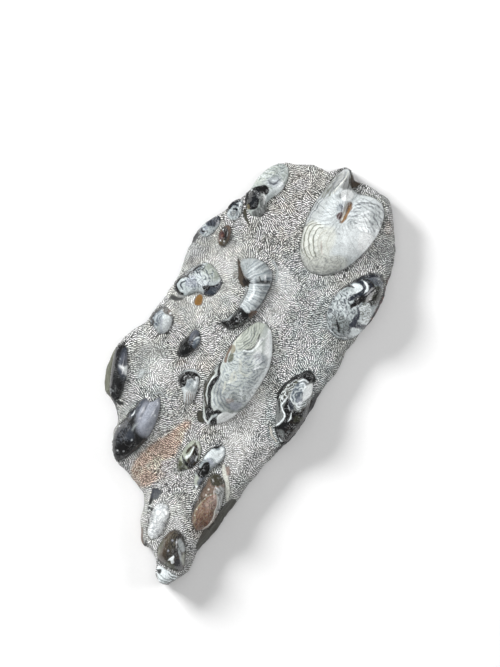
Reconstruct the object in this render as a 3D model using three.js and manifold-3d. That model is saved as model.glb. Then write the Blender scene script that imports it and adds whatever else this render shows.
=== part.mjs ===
// A plate of grey limestone with polished ammonites standing out of its carved face.
// Millimetres, +Z up. The plate lies on its sawn back, long axis along Y, and the origin
// is the middle of its bounding box at the level of that back.
import * as THREE from "three";
import { mergeVertices } from "three/addons/utils/BufferGeometryUtils.js";
import Module from "manifold-3d";

// ---------------------------------------------------------------- driving dimensions
const FACE_LEVEL = 35; // height of the open, carved stone between the fossils
const EDGE_ROUND = 15; // width of the band in which the face rolls over to the rim
const EDGE_DROP = 8; // how far the face has sunk at the rim
const BELLY_LEVEL = 10; // height at which the flank reaches furthest out
const RIM_LEVEL = 30; // height at which the flank has drawn in by its full flare
const BACK_INSET = 4.5; // how far the sawn back lies inside the belly
const FLANK_TOP = 54; // the flank is made this high, then cut by the face
const FLANK_CHIP = 1.3; // depth of the broken facets on the flank
const MOUND_REACH = 9; // width of the stone collar that climbs to each fossil
const PROUD = 0.8; // a fossil's rim stands this far above its collar
const SEAT_DEPTH = 6.5; // a fossil reaches this far below the lowest point of its rim
const SEAT_GAP = 0.35; // room between a fossil and its seat
const FACE_STEP = 8.5; // spacing of the facets of the carved face
const FLANK_STEP = 9; // spacing of the facets round the flank
const DOME_POWER = 2.3; // how flat the crown of a fossil's dome is
const DOME_SWEEP = 0.58; // how steeply the dome leaves its rim

// The plate's outline at the belly, anticlockwise from the top: x, y, and the flare, which
// is how far the flank leans out between the rim and the belly there.
const PLATE_OUTLINE = [
  [-1, 221, 1.5], [-8, 214, 2], [-17, 213.5, 2], [-28, 211, 2], [-40, 205, 2],
  [-52, 198.5, 1.5], [-60, 189, 1.5], [-65.5, 173, 1.5], [-67.5, 157, 1.5],
  [-72, 145, 1.5], [-78, 130, 1.5], [-86, 113, 1.5], [-91, 99, 1.2], [-91.5, 86, 3],
  [-89, 68, 3], [-86.5, 52, 1.5], [-86, 36, 1.5], [-87, 20, 2], [-90, 6, 1.5],
  [-92, -8, 3], [-98, -22, 3], [-103, -36, 1.5], [-105, -50, 3], [-102.5, -67, 6],
  [-97, -80, 7], [-89, -92, 4], [-79, -94, 1.5], [-70, -103, 3], [-64, -113, 1.5],
  [-62.5, -122, 1.2], [-56, -137, 1.2], [-46.5, -145.5, 1.2], [-37, -148, 4],
  [-27, -151, 4], [-15, -155, 4], [-7, -160, 4], [-1, -169, 4], [3, -181, 5],
  [9, -193, 5], [16, -202, 5], [23, -205, 4], [29, -203, 3], [34, -207, 2],
  [39.5, -215, 1.5], [45, -224, 1.2], [52, -228, 1.2], [59, -227.5, 1.5],
  [64, -221, 3], [69, -212, 3], [72, -202, 4], [71.5, -190, 5], [71, -179, 7],
  [73.5, -166, 8], [76, -152, 8], [76.5, -138, 7], [78.5, -122, 7], [80.5, -106, 5],
  [82.5, -90, 4], [85.5, -75, 4], [88.5, -60, 5], [92.5, -46, 1.5], [95.5, -32, 1.5],
  [97.5, -16, 1.5], [98, 0, 4], [98.5, 16, 6], [99.5, 30, 5], [100.5, 45, 5],
  [99.5, 60, 5], [99.5, 72, 5], [101.5, 84, 2.5], [104, 97, 1.5], [105.5, 111, 2],
  [105, 127, 4], [102.5, 142, 6], [99.5, 157, 7], [94.5, 172, 6], [87.5, 185, 5],
  [79.5, 197, 5], [71.5, 208.5, 4], [65, 216.5, 3], [57, 220.5, 2], [45, 221.5, 2],
  [33, 222.5, 2], [25, 220.5, 2], [19, 220.5, 2], [15.5, 224, 1.5], [11, 228, 1.2],
  [5.5, 227, 1.5], [2, 223.5, 1.5],
];

// Broad swells (+) and hollows (-) of the carved face: x, y, reach, height.
const SWELLS = [
  [30, 168, 58, 5], [-35, 175, 40, 1], [-20, 78, 38, 2], [16, -8, 50, 4],
  [55, 55, 34, -4], [82, 105, 34, 1.5], [-62, -22, 34, -2.5], [-46, -105, 34, 2],
  [-8, -118, 26, -3], [56, -134, 30, 2], [30, -92, 26, 1], [20, -175, 26, 1],
  [-60, 55, 30, 1], [52, -48, 20, -2.5], [19.5, 214, 6, -9], [47, -192, 24, 2],
];

// The ammonites. Each has its middle, its outline anticlockwise, the rise of its dome, the
// mound of stone it sits on, the number of facets round it, and its ridges (+) and grooves
// (-): x and y of both ends, half width, height.
const AMMONITES = {
  ammonite_great: {
    middle: [31, 168],
    outline: [
      [67, 180], [66, 192], [62, 205], [52, 213], [38, 211], [27, 208], [18, 213],
      [14.5, 221.5], [10, 226.5], [5, 224.5], [2, 215], [-1, 200], [-3, 184], [-3, 168],
      [-1, 154], [3, 140], [9, 127], [18, 118.5], [29, 116.5], [40, 119.5], [50, 128],
      [58, 141], [63, 156], [66, 170],
    ],
    rise: 13, mound: 2.5, facets: 34,
    ridges: [[10.5, 226, 12, 198, 4.5, 7], [26, 194, 27, 177, 5, -4]],
  },
  ammonite_right_edge: {
    middle: [82, 108],
    outline: [
      [103, 108], [102, 122], [99, 136], [95, 146], [90, 150.5], [83, 148], [75, 141],
      [69, 131], [64, 121], [61, 113], [60, 103], [61, 92], [65, 83], [72, 76],
      [82, 72.5], [91, 75], [98, 82], [102, 94],
    ],
    rise: 11, mound: 2, facets: 26, ridges: [],
  },
  ammonite_centre: {
    middle: [17, -8],
    outline: [
      [40.5, -3], [40, 12], [36.5, 24], [30, 37], [22, 47.5], [13, 50], [6, 47.5],
      [1.5, 39], [-1.5, 29], [-4.5, 17], [-5, 4], [-4.5, -8], [-7, -19], [-9, -28],
      [-6, -38], [-1, -48], [4, -57], [9, -64.5], [17, -65.5], [24, -60], [31, -51],
      [36, -39], [39, -26],
    ],
    rise: 12, mound: 2.5, facets: 30, ridges: [],
  },
  ammonite_lower_right: {
    middle: [80, -6],
    outline: [
      [93, 2], [90.5, 11], [87, 19], [84, 26], [79, 30.5], [73, 28], [68, 20],
      [64.5, 12], [62, 3], [61.5, -6], [64, -14], [68, -21], [70.5, -28], [75, -35],
      [80, -40], [87, -45], [91, -42], [94, -32], [96, -20], [96, -9],
    ],
    rise: 8.5, mound: 1.5, facets: 24, ridges: [[70, 8, 73, -12, 3, -2]],
  },
  ammonite_left_shoulder: {
    middle: [-89, -65],
    outline: [
      [-79, -65], [-83, -56], [-88, -47.5], [-93, -40], [-98, -37], [-102.5, -43],
      [-101.5, -51], [-98.5, -60], [-95, -69], [-91, -78], [-86, -87], [-80, -92],
      [-75, -90], [-75, -81], [-77, -72],
    ],
    rise: 8, mound: 2, facets: 22, ridges: [],
  },
  ammonite_left_hip: {
    middle: [-46, -106],
    outline: [
      [-30, -98], [-31.5, -86], [-34, -77], [-37.5, -69], [-40.5, -65.5], [-43, -70],
      [-44.5, -76.5], [-48, -74], [-52, -73], [-55, -78], [-56.5, -87], [-59, -95],
      [-59, -104], [-62, -113], [-61.5, -120], [-58, -130], [-52.5, -138],
      [-46.5, -143.5], [-41, -137.5], [-35.5, -127], [-31, -113],
    ],
    rise: 8, mound: 2, facets: 26, ridges: [],
  },
  ammonite_top_left: {
    middle: [-52, 167],
    outline: [
      [-38, 172], [-37.5, 181], [-40, 191], [-45, 197], [-52, 196.5], [-58, 190],
      [-62.5, 181], [-65, 171], [-65.5, 160], [-64, 150], [-60.5, 141.5], [-55, 136.5],
      [-48, 137], [-42.5, 141], [-41.5, 148], [-44.5, 157], [-40.5, 165],
    ],
    rise: 8, mound: 1.5, facets: 24, ridges: [[-53, 166, -44, 156, 4, -2.5]],
  },
  ammonite_winged: {
    middle: [-62, 53],
    outline: [
      [-42.3, 58], [-44, 66], [-50, 69], [-57, 73], [-65, 74.5], [-72, 68.5],
      [-78, 60], [-81, 52], [-84.5, 44], [-83.5, 36], [-77.5, 32], [-69.5, 33.5],
      [-64, 39], [-58, 44.5], [-51, 44], [-44.5, 48],
    ],
    rise: 4.5, mound: 0.5, facets: 20, ridges: [],
  },
  ammonite_small_dark: {
    middle: [-41.5, -6],
    outline: [
      [-33, -2], [-33.5, 5], [-37, 8], [-41, 11.5], [-44.5, 9.5], [-46, 2], [-49, -6],
      [-49.5, -13], [-46, -20], [-41.5, -21.5], [-37, -17], [-34, -10],
    ],
    rise: 6, mound: 1, facets: 16, ridges: [],
  },
  ammonite_little_shell: {
    middle: [-20, -42],
    outline: [
      [-11, -44], [-13, -35], [-17, -28.5], [-23, -26], [-29, -28.5], [-33.3, -35],
      [-33, -42], [-28, -47], [-23, -50], [-19.5, -56], [-15, -60], [-10.5, -57],
      [-9.5, -50.5],
    ],
    rise: 6, mound: 1, facets: 18, ridges: [],
  },
  ammonite_left_swirl: {
    middle: [-68, 134],
    outline: [
      [-61.5, 133], [-63.5, 140], [-67.5, 146], [-72, 143.5], [-75.5, 137], [-76, 129],
      [-72.5, 123.5], [-66, 122], [-61.5, 126],
    ],
    rise: 5, mound: 0.5, facets: 14, ridges: [],
  },
  ammonite_left_blue: {
    middle: [-82, 106],
    outline: [
      [-75, 109], [-75.5, 117], [-79, 120.5], [-83, 116.5], [-86.3, 110], [-89, 103],
      [-89.5, 97], [-85, 93.5], [-79, 96], [-76, 102],
    ],
    rise: 5, mound: 0.5, facets: 14, ridges: [],
  },
  ammonite_red_heart: {
    middle: [-65, 105],
    outline: [
      [-58.3, 101.5], [-60, 108.5], [-62.5, 115], [-66.5, 117], [-70, 112], [-71, 106],
      [-69, 99.5], [-65.5, 94.8], [-61, 94.5],
    ],
    rise: 4, mound: 0.5, facets: 14, ridges: [],
  },
  ammonite_left_notch: {
    middle: [-77, 2],
    outline: [
      [-66, 0], [-68, 8], [-72.5, 13], [-78, 15], [-83.5, 13.5], [-87.5, 6.5],
      [-89, -1], [-85.5, -6.5], [-79, -9.5], [-72.5, -12], [-67.5, -8],
    ],
    rise: 5, mound: 0.5, facets: 16, ridges: [],
  },
  ammonite_folded: {
    middle: [15, -102],
    outline: [
      [25, -104], [23.5, -95], [19, -87], [12.5, -84], [8, -90], [6.5, -99],
      [7, -108], [8, -115], [12, -121.5], [16.5, -117], [22, -113],
    ],
    rise: 4, mound: 0.5, facets: 16, ridges: [],
  },
  ammonite_white_swirl: {
    middle: [35, -100],
    outline: [
      [46, -90], [44, -81], [39, -75], [34.5, -78], [30, -83], [27.5, -91],
      [28, -100], [27.5, -109], [29, -118], [33, -125], [37.5, -127.5], [38.8, -119],
      [39.3, -109], [41, -100.5],
    ],
    rise: 4, mound: 0.5, facets: 18, ridges: [],
  },
  ammonite_brown_oval: {
    middle: [55, -134],
    outline: [
      [68.5, -142], [67.5, -130], [64.5, -119], [60, -110], [54, -104.5], [46.5, -103],
      [42.3, -108.5], [41.6, -120], [41.8, -132], [43.5, -145], [47.5, -156],
      [54, -163], [61, -163], [66.5, -155],
    ],
    rise: 7, mound: 1.5, facets: 22, ridges: [[50, -112, 62, -122, 4, -2.5]],
  },
  ammonite_pale_flush: {
    middle: [20, -174],
    outline: [
      [28, -172], [27, -163], [22, -157], [15, -156], [10.5, -161], [10, -171],
      [13, -181], [17, -190], [23, -193.5], [28, -189], [29, -181],
    ],
    rise: 4, mound: 0.5, facets: 16, ridges: [],
  },
  ammonite_tail_dome: {
    middle: [47, -192],
    outline: [
      [62.5, -194], [58.5, -186], [53, -178], [47, -173], [40.5, -172], [35.5, -177],
      [33.2, -186], [33.2, -196], [36, -204], [42, -208.5], [51, -209.3], [60, -208.5],
      [65.5, -205.5], [65.5, -200],
    ],
    rise: 9, mound: 1.5, facets: 22, ridges: [],
  },
  ammonite_tip: {
    middle: [53, -218],
    outline: [
      [65, -211.8], [52, -211.8], [43.5, -211.5], [42, -215], [46.5, -222],
      [52, -226.5], [58, -225.5], [62.5, -219],
    ],
    rise: 4, mound: 0.5, facets: 14, ridges: [],
  },
};

// The curved body chamber lies like a horn: x, y and half width along its middle line.
const HORN_NAME = "ammonite_horn";
const HORN_PATH = [
  [-37.5, 90.5, 3], [-30, 91, 9.5], [-21, 90, 13], [-12, 86, 13], [-8.5, 76, 10.3],
  [-7.5, 65, 9.2], [-7.7, 54, 8.8], [-9.5, 44.5, 8], [-13.5, 36, 7], [-19, 30.5, 5],
  [-25, 29.5, 1.8],
];
const HORN_STEPS = 14; // facets along one side of the horn
const HORN_RISE = 10; // of its dome where it is widest
const HORN_WIDEST = 13; // half width there
const HORN_MOUND = 1;

// Shares of the way from a fossil's middle to its rim at which its dome is faceted.
const DOME_SHARES_LARGE = [0.93, 0.74, 0.42];
const DOME_SHARES_SMALL = [0.9, 0.6];
const LARGE_FACETS = 22; // fossils with at least this many facets round are large ones

const LIMESTONE = { color: 0x8f8b84, roughness: 0.85, metalness: 0 };
const SHELL_COLOURS = {
  pale: 0xc9cbc6,
  dark: 0x34373c,
  marbled: 0x8d9094,
  brown: 0x7d6250,
};
const DARK_SHELLS = [
  "ammonite_left_shoulder", "ammonite_left_hip", "ammonite_small_dark",
  "ammonite_tail_dome",
];
const PALE_SHELLS = ["ammonite_great", "ammonite_centre", "ammonite_pale_flush"];
const BROWN_SHELLS = ["ammonite_brown_oval", "ammonite_red_heart"];

const wasm = await Module();
wasm.setup();

// ---------------------------------------------------------------- curves in plan

/** A smooth closed curve through the points, sampled at an even spacing. */
function smoothLoop(points, count) {
  const through = points.map(([x, y, w = 0]) => new THREE.Vector3(x, y, w));
  const curve = new THREE.CatmullRomCurve3(through, true, "catmullrom", 0.5);
  return curve.getSpacedPoints(count).slice(0, count);
}

/** The unit normals of a closed anticlockwise loop, pointing inwards. */
function inwardNormals(loop) {
  return loop.map((_, i) => {
    const before = loop[(i + loop.length - 1) % loop.length];
    const after = loop[(i + 1) % loop.length];
    return new THREE.Vector2(before.y - after.y, after.x - before.x).normalize();
  });
}

/** Distance from a point to a closed loop in plan, positive inside it. */
function insideDistance(loop, x, y) {
  let nearest = Infinity;
  let inside = false;
  for (let i = 0, j = loop.length - 1; i < loop.length; j = i++) {
    const a = loop[j];
    const b = loop[i];
    const dx = b.x - a.x;
    const dy = b.y - a.y;
    const share = ((x - a.x) * dx + (y - a.y) * dy) / (dx * dx + dy * dy);
    const t = THREE.MathUtils.clamp(share, 0, 1);
    nearest = Math.min(nearest, Math.hypot(x - a.x - t * dx, y - a.y - t * dy));
    if (a.y > y !== b.y > y && x < a.x + ((y - a.y) / dy) * dx) inside = !inside;
  }
  return inside ? nearest : -nearest;
}

/** Distance in plan from a point to the line between two points. */
function lineDistance(x, y, [ax, ay, bx, by]) {
  const dx = bx - ax;
  const dy = by - ay;
  const share = ((x - ax) * dx + (y - ay) * dy) / (dx * dx + dy * dy);
  const t = THREE.MathUtils.clamp(share, 0, 1);
  return Math.hypot(x - ax - t * dx, y - ay - t * dy);
}

/** The horn's outline and, for each of its points, the point on its middle line. */
function hornLoops() {
  const through = HORN_PATH.map(([x, y, w]) => new THREE.Vector3(x, y, w));
  const curve = new THREE.CatmullRomCurve3(through, false, "catmullrom", 0.5);
  const middle = curve.getSpacedPoints(HORN_STEPS);
  const sides = middle.map((p, i) => {
    const before = middle[Math.max(0, i - 1)];
    const after = middle[Math.min(middle.length - 1, i + 1)];
    const across = new THREE.Vector2(before.y - after.y, after.x - before.x).normalize();
    return across.multiplyScalar(p.z);
  });
  const right = middle.map((p, i) => new THREE.Vector3(p.x - sides[i].x, p.y - sides[i].y));
  const left = middle.map((p, i) => new THREE.Vector3(p.x + sides[i].x, p.y + sides[i].y));
  return { outline: [...right, ...left.reverse()], spine: [...middle, ...middle.toReversed()] };
}

// ---------------------------------------------------------------- the fossils in plan

const fossils = Object.entries(AMMONITES).map(([name, a]) => {
  const outline = smoothLoop(a.outline, a.facets);
  const spine = outline.map(() => new THREE.Vector3(...a.middle, 0));
  return { name, outline, spine, rise: a.rise, mound: a.mound, ridges: a.ridges };
});
fossils.push({ name: HORN_NAME, ...hornLoops(), rise: HORN_RISE, mound: HORN_MOUND, ridges: [] });

// ---------------------------------------------------------------- the carved face

const plateLength = smoothLoop(PLATE_OUTLINE, 400).reduce(
  (sum, p, i, loop) => sum + Math.hypot(p.x - loop.at(i - 1).x, p.y - loop.at(i - 1).y),
  0,
);
const belly = smoothLoop(PLATE_OUTLINE, Math.round(plateLength / FLANK_STEP));
const bellyNormals = inwardNormals(belly);

/** The plate's outline drawn in by the given distance at each of its points. */
function drawnIn(distanceAt) {
  return belly.map((p, i) => {
    const inset = distanceAt(p, i);
    return new THREE.Vector2(p.x + bellyNormals[i].x * inset, p.y + bellyNormals[i].y * inset);
  });
}

const rim = drawnIn((p) => p.z);

/** Height of the carved stone at a point of the face. */
function faceHeight(x, y) {
  let z = FACE_LEVEL;
  for (const [sx, sy, reach, height] of SWELLS)
    z += height * Math.exp(-((x - sx) ** 2 + (y - sy) ** 2) / reach ** 2);
  const fromRim = insideDistance(rim, x, y);
  z -= EDGE_DROP * THREE.MathUtils.clamp(1 - fromRim / EDGE_ROUND, 0, 1.5) ** 2;
  let mound = 0;
  for (const f of fossils) {
    const outside = Math.max(0, -insideDistance(f.outline, x, y));
    mound = Math.max(mound, f.mound * Math.exp(-((outside / MOUND_REACH) ** 2)));
  }
  return z + mound;
}

/** A small repeatable unevenness, from -1 to 1, for the broken stone of the flank. */
function unevenness(x, y, z) {
  const coarse = Math.sin(x * 0.31 + z * 0.23 + 1.7) * Math.cos(y * 0.27 - z * 0.19);
  const fine = Math.sin(x * 0.83 - y * 0.71 + z * 0.57);
  return 0.6 * coarse + 0.4 * fine;
}

// ---------------------------------------------------------------- solids

/** The closed solid between rings of points, lowest first. A last ring that folds shut needs no cap. */
function loft(rings, capped) {
  const count = rings[0].length;
  const positions = rings.flat().flatMap((p) => [p.x, p.y, p.z]);
  const index = [];
  for (let r = 0; r + 1 < rings.length; r++)
    for (let i = 0; i < count; i++) {
      const a = r * count + i;
      const b = r * count + ((i + 1) % count);
      index.push(a, b, b + count, a, b + count, a + count);
    }
  const flat = (ring) => ring.map((p) => new THREE.Vector2(p.x, p.y));
  for (const [a, b, c] of THREE.ShapeUtils.triangulateShape(flat(rings[0]), []))
    index.push(a, c, b);
  const top = (rings.length - 1) * count;
  if (capped)
    for (const [a, b, c] of THREE.ShapeUtils.triangulateShape(flat(rings.at(-1)), []))
      index.push(top + a, top + b, top + c);
  return solidOf(positions, index);
}

/** A manifold solid of a closed mesh, its shared vertices merged. */
function solidOf(positions, index) {
  const mesh = new THREE.BufferGeometry()
    .setAttribute("position", new THREE.Float32BufferAttribute(positions, 3))
    .setIndex(index);
  const merged = mergeVertices(mesh, 1e-3);
  const corners = merged.index.array;
  const kept = [];
  for (let i = 0; i < corners.length; i += 3) {
    const [a, b, c] = corners.slice(i, i + 3);
    if (a !== b && b !== c && c !== a) kept.push(a, b, c);
  }
  return new wasm.Manifold(
    new wasm.Mesh({
      numProp: 3,
      vertProperties: merged.attributes.position.array,
      triVerts: new Uint32Array(kept),
    }),
  );
}

/** A named mesh of a manifold solid. */
function meshOf(name, solid, material) {
  const { numProp, numVert, vertProperties, triVerts } = solid.getMesh();
  const positions = new Float32Array(numVert * 3);
  for (let i = 0; i < numVert; i++)
    positions.set(vertProperties.subarray(i * numProp, i * numProp + 3), i * 3);
  const geometry = new THREE.BufferGeometry()
    .setAttribute("position", new THREE.BufferAttribute(positions, 3))
    .setIndex(new THREE.BufferAttribute(triVerts, 1));
  geometry.computeVertexNormals();
  const mesh = new THREE.Mesh(geometry, material);
  mesh.name = name;
  return mesh;
}

/** Height that a fossil's ridges and grooves add at a point. */
function ridgeHeight(ridges, x, y) {
  return ridges.reduce((sum, [ax, ay, bx, by, width, height]) => {
    const away = lineDistance(x, y, [ax, ay, bx, by]) / width;
    return sum + height * Math.exp(-away * away);
  }, 0);
}

/** Rim heights of a fossil, and the level of the flat seat under it. */
function rimAndSeat(fossil) {
  const heights = fossil.outline.map(
    (p) => faceHeight(p.x, p.y) + PROUD + ridgeHeight(fossil.ridges, p.x, p.y),
  );
  return { heights, seat: Math.min(...heights) - SEAT_DEPTH };
}

/** Rise of a fossil's dome at one point of its spine. A horn's is less where it is narrow. */
function riseAt(fossil, i) {
  const narrow = fossil.name === HORN_NAME ? fossil.spine[i].z / HORN_WIDEST : 1;
  return fossil.rise * Math.sqrt(Math.min(1, narrow));
}

/** One ammonite: a flat seat, an upright edge, and a dome that folds shut along its spine. */
function ammoniteSolid(fossil) {
  const { outline, spine, ridges } = fossil;
  const { heights, seat } = rimAndSeat(fossil);
  const shares = outline.length < LARGE_FACETS ? DOME_SHARES_SMALL : DOME_SHARES_LARGE;
  const ring = (share) =>
    outline.map((p, i) => {
      const x = THREE.MathUtils.lerp(spine[i].x, p.x, share);
      const y = THREE.MathUtils.lerp(spine[i].y, p.y, share);
      const middle = faceHeight(spine[i].x, spine[i].y) + PROUD;
      const edge = faceHeight(p.x, p.y) + PROUD;
      const ground = THREE.MathUtils.lerp(middle, edge, share * share);
      const dome = riseAt(fossil, i) * (1 - share ** DOME_POWER) ** DOME_SWEEP;
      return new THREE.Vector3(x, y, ground + dome + ridgeHeight(ridges, x, y));
    });
  const rings = [
    outline.map((p) => new THREE.Vector3(p.x, p.y, seat)),
    outline.map((p, i) => new THREE.Vector3(p.x, p.y, heights[i])),
    ...[...shares, 0].map(ring),
  ];
  return loft(rings, false);
}

/** The room a fossil needs in the stone: its outline with the seat gap, open upwards. */
function seatSolid(fossil) {
  const normals = inwardNormals(fossil.outline);
  const wide = fossil.outline.map((p, i) => ({
    x: p.x - normals[i].x * SEAT_GAP,
    y: p.y - normals[i].y * SEAT_GAP,
  }));
  const { seat } = rimAndSeat(fossil);
  const level = (z) => wide.map((p) => new THREE.Vector3(p.x, p.y, z));
  return loft([level(seat - SEAT_GAP), level(FLANK_TOP + 30)], true);
}

/** The flank: the outline drawn in level by level, with broken facets, and a flat back. */
function flankSolid() {
  const slope = 1 / (RIM_LEVEL - BELLY_LEVEL);
  const levels = [0, 4, BELLY_LEVEL, 20, RIM_LEVEL, FLANK_TOP];
  const rings = levels.map((z) =>
    drawnIn((p, i) => {
      if (z < BELLY_LEVEL) return BACK_INSET * (1 - z / BELLY_LEVEL) ** 1.5;
      const chip = z > RIM_LEVEL ? 0 : FLANK_CHIP * (unevenness(p.x, p.y, z) + 1);
      return p.z * (z - BELLY_LEVEL) * slope + (z > BELLY_LEVEL ? 0.5 * chip : 0);
    }).map((p) => new THREE.Vector3(p.x, p.y, z)),
  );
  return loft(rings, true);
}

/** A block whose top is the carved face, larger in plan than the plate. */
function faceSolid() {
  const box = new THREE.Box2().setFromPoints(belly).expandByScalar(FACE_STEP);
  const columns = Math.ceil((box.max.x - box.min.x) / FACE_STEP);
  const rows = Math.ceil((box.max.y - box.min.y) / FACE_STEP);
  const plane = new THREE.PlaneGeometry(1, 1, columns, rows).attributes.position;
  const below = -5;
  const positions = [];
  for (let i = 0; i < plane.count; i++) {
    const x = box.min.x + (plane.getX(i) + 0.5) * columns * FACE_STEP;
    const y = box.min.y + (0.5 - plane.getY(i)) * rows * FACE_STEP;
    positions.push(x, y, faceHeight(x, y));
  }
  const size = plane.count;
  for (let i = 0; i < size; i++) positions.push(positions[3 * i], positions[3 * i + 1], below);
  const index = [];
  const at = (c, r) => r * (columns + 1) + c;
  for (let r = 0; r < rows; r++)
    for (let c = 0; c < columns; c++) {
      const [a, b, d, e] = [at(c, r), at(c + 1, r), at(c, r + 1), at(c + 1, r + 1)];
      const faces = (c + r) % 2 ? [a, b, e, a, e, d] : [a, b, d, b, e, d];
      index.push(...faces);
      for (let i = 0; i < 6; i += 3)
        index.push(size + faces[i], size + faces[i + 2], size + faces[i + 1]);
    }
  const wall = (a, b) => index.push(a, size + a, size + b, a, size + b, b);
  for (let c = 0; c < columns; c++) {
    wall(at(c, 0), at(c + 1, 0));
    wall(at(c + 1, rows), at(c, rows));
  }
  for (let r = 0; r < rows; r++) {
    wall(at(columns, r), at(columns, r + 1));
    wall(at(0, r + 1), at(0, r));
  }
  return solidOf(positions, index);
}

/** The limestone: the flank cut off by the carved face, with a seat for each fossil. */
function matrixSolid() {
  const seats = fossils.map(seatSolid);
  const cut = seats.reduce((stone, seat) => stone.subtract(seat), flankSolid().intersect(faceSolid()));
  const pieces = cut.decompose();
  return pieces.reduce((large, piece) => (piece.volume() > large.volume() ? piece : large));
}

/** The finish of a fossil, by its name. */
function shellMaterial(name) {
  let colour = SHELL_COLOURS.marbled;
  if (DARK_SHELLS.includes(name)) colour = SHELL_COLOURS.dark;
  if (PALE_SHELLS.includes(name)) colour = SHELL_COLOURS.pale;
  if (BROWN_SHELLS.includes(name)) colour = SHELL_COLOURS.brown;
  return new THREE.MeshStandardMaterial({ color: colour, roughness: 0.25, metalness: 0 });
}

const plate = new THREE.Group();
plate.add(meshOf("matrix", matrixSolid(), new THREE.MeshStandardMaterial(LIMESTONE)));
for (const fossil of fossils)
  plate.add(meshOf(fossil.name, ammoniteSolid(fossil), shellMaterial(fossil.name)));

export default plate;
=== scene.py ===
"""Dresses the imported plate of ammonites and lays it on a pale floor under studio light.

The plate lies on its sawn back, its long side along +Y and its carved face up. Lengths are
millimetres in the plate's own frame, and meshes are written in metres.
"""

from __future__ import annotations

import logging
import math
import sys
from dataclasses import dataclass
from enum import Enum
from typing import Callable, Sequence, Union

import bpy
import numpy as np
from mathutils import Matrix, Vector
from mathutils.bvhtree import BVHTree
from mathutils.geometry import delaunay_2d_cdt

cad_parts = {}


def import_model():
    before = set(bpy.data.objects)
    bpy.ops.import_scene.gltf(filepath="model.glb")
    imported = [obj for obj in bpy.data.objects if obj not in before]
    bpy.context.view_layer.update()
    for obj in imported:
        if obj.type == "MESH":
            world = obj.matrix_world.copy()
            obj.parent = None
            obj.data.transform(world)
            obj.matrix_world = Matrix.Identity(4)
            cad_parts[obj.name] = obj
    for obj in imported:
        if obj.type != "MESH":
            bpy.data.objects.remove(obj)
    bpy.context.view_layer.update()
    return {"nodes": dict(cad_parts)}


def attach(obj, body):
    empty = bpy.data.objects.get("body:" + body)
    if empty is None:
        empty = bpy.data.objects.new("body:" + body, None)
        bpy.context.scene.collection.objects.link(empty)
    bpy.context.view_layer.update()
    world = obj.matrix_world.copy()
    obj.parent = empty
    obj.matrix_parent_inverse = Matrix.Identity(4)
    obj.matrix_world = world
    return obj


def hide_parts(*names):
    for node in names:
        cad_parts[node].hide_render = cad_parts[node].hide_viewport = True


LOG = logging.getLogger("ammonite_plate")
Array = np.ndarray
Point = tuple[float, float]

MM = 0.001  # metres in a millimetre
SKY = 90.0  # a height over the whole plate, from which rays fall on it
CHUNK = 4000  # points measured against a line at a time
BODY = "root"


class Slot(Enum):
    """The record's material slots."""

    STONE = "matrix"
    PALE = "pale_shell"
    MARBLED = "marbled_shell"
    DARK = "dark_shell"
    BROWN = "brown_shell"


class Tone(Enum):
    """The colours of the stone and the shells, as they look on a screen."""

    INK = "1b1c1f"
    COAL = "323334"
    PITCH = "2a2b2b"
    SLATE = "4a4f58"
    STEEL = "6b747e"
    ASH = "8a8d8c"
    FOG = "abb1b2"
    MIST = "b7bdba"
    IVORY = "cfd1c8"
    SNOW = "f6f9f9"
    PEARL = "c8cecf"
    MILK = "e8edee"
    CREAM = "d9dad1"
    LICHEN = "b3b8ae"
    LILAC = "a8acb5"
    DUSK = "666a73"
    UMBER = "4b4239"
    EARTH = "75655a"
    RUST = "946540"
    OCHRE = "84602f"
    BRICK = "7f5f50"
    ROSE = "a28e85"
    WINE = "543d3e"
    OLIVE = "3f3e34"
    MOSS = "5f6152"
    SAND = "8d8672"
    CHALK = "cfccc4"
    STONE = "878986"
    WARM_STONE = "8c8983"
    COOL_STONE = "7d898c"

    def linear(self) -> Array:
        """The colour as linear red, green and blue."""
        parts = np.array([int(self.value[i : i + 2], 16) for i in (0, 2, 4)]) / 255
        return np.where(parts <= 0.04045, parts / 12.92, ((parts + 0.055) / 1.055) ** 2.4)


# The tones by their bare names, for the marks below.
(
    INK, COAL, PITCH, SLATE, STEEL, ASH, FOG, MIST, IVORY, SNOW, PEARL, MILK, CREAM, LICHEN, LILAC, DUSK, UMBER,
    EARTH, RUST, OCHRE, BRICK, ROSE, WINE, OLIVE, MOSS, SAND, CHALK, STONE, WARM_STONE, COOL_STONE
) = Tone


# ------------------------------------------------------------------------------ curves in plan


def ramp(value: Array) -> Array:
    """A smooth step: t * t * (3 - 2 * t) of the numbers plus a half, held to 0..1."""
    t = np.clip(value + 0.5, 0.0, 1.0)
    return t * t * (3 - 2 * t)


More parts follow.
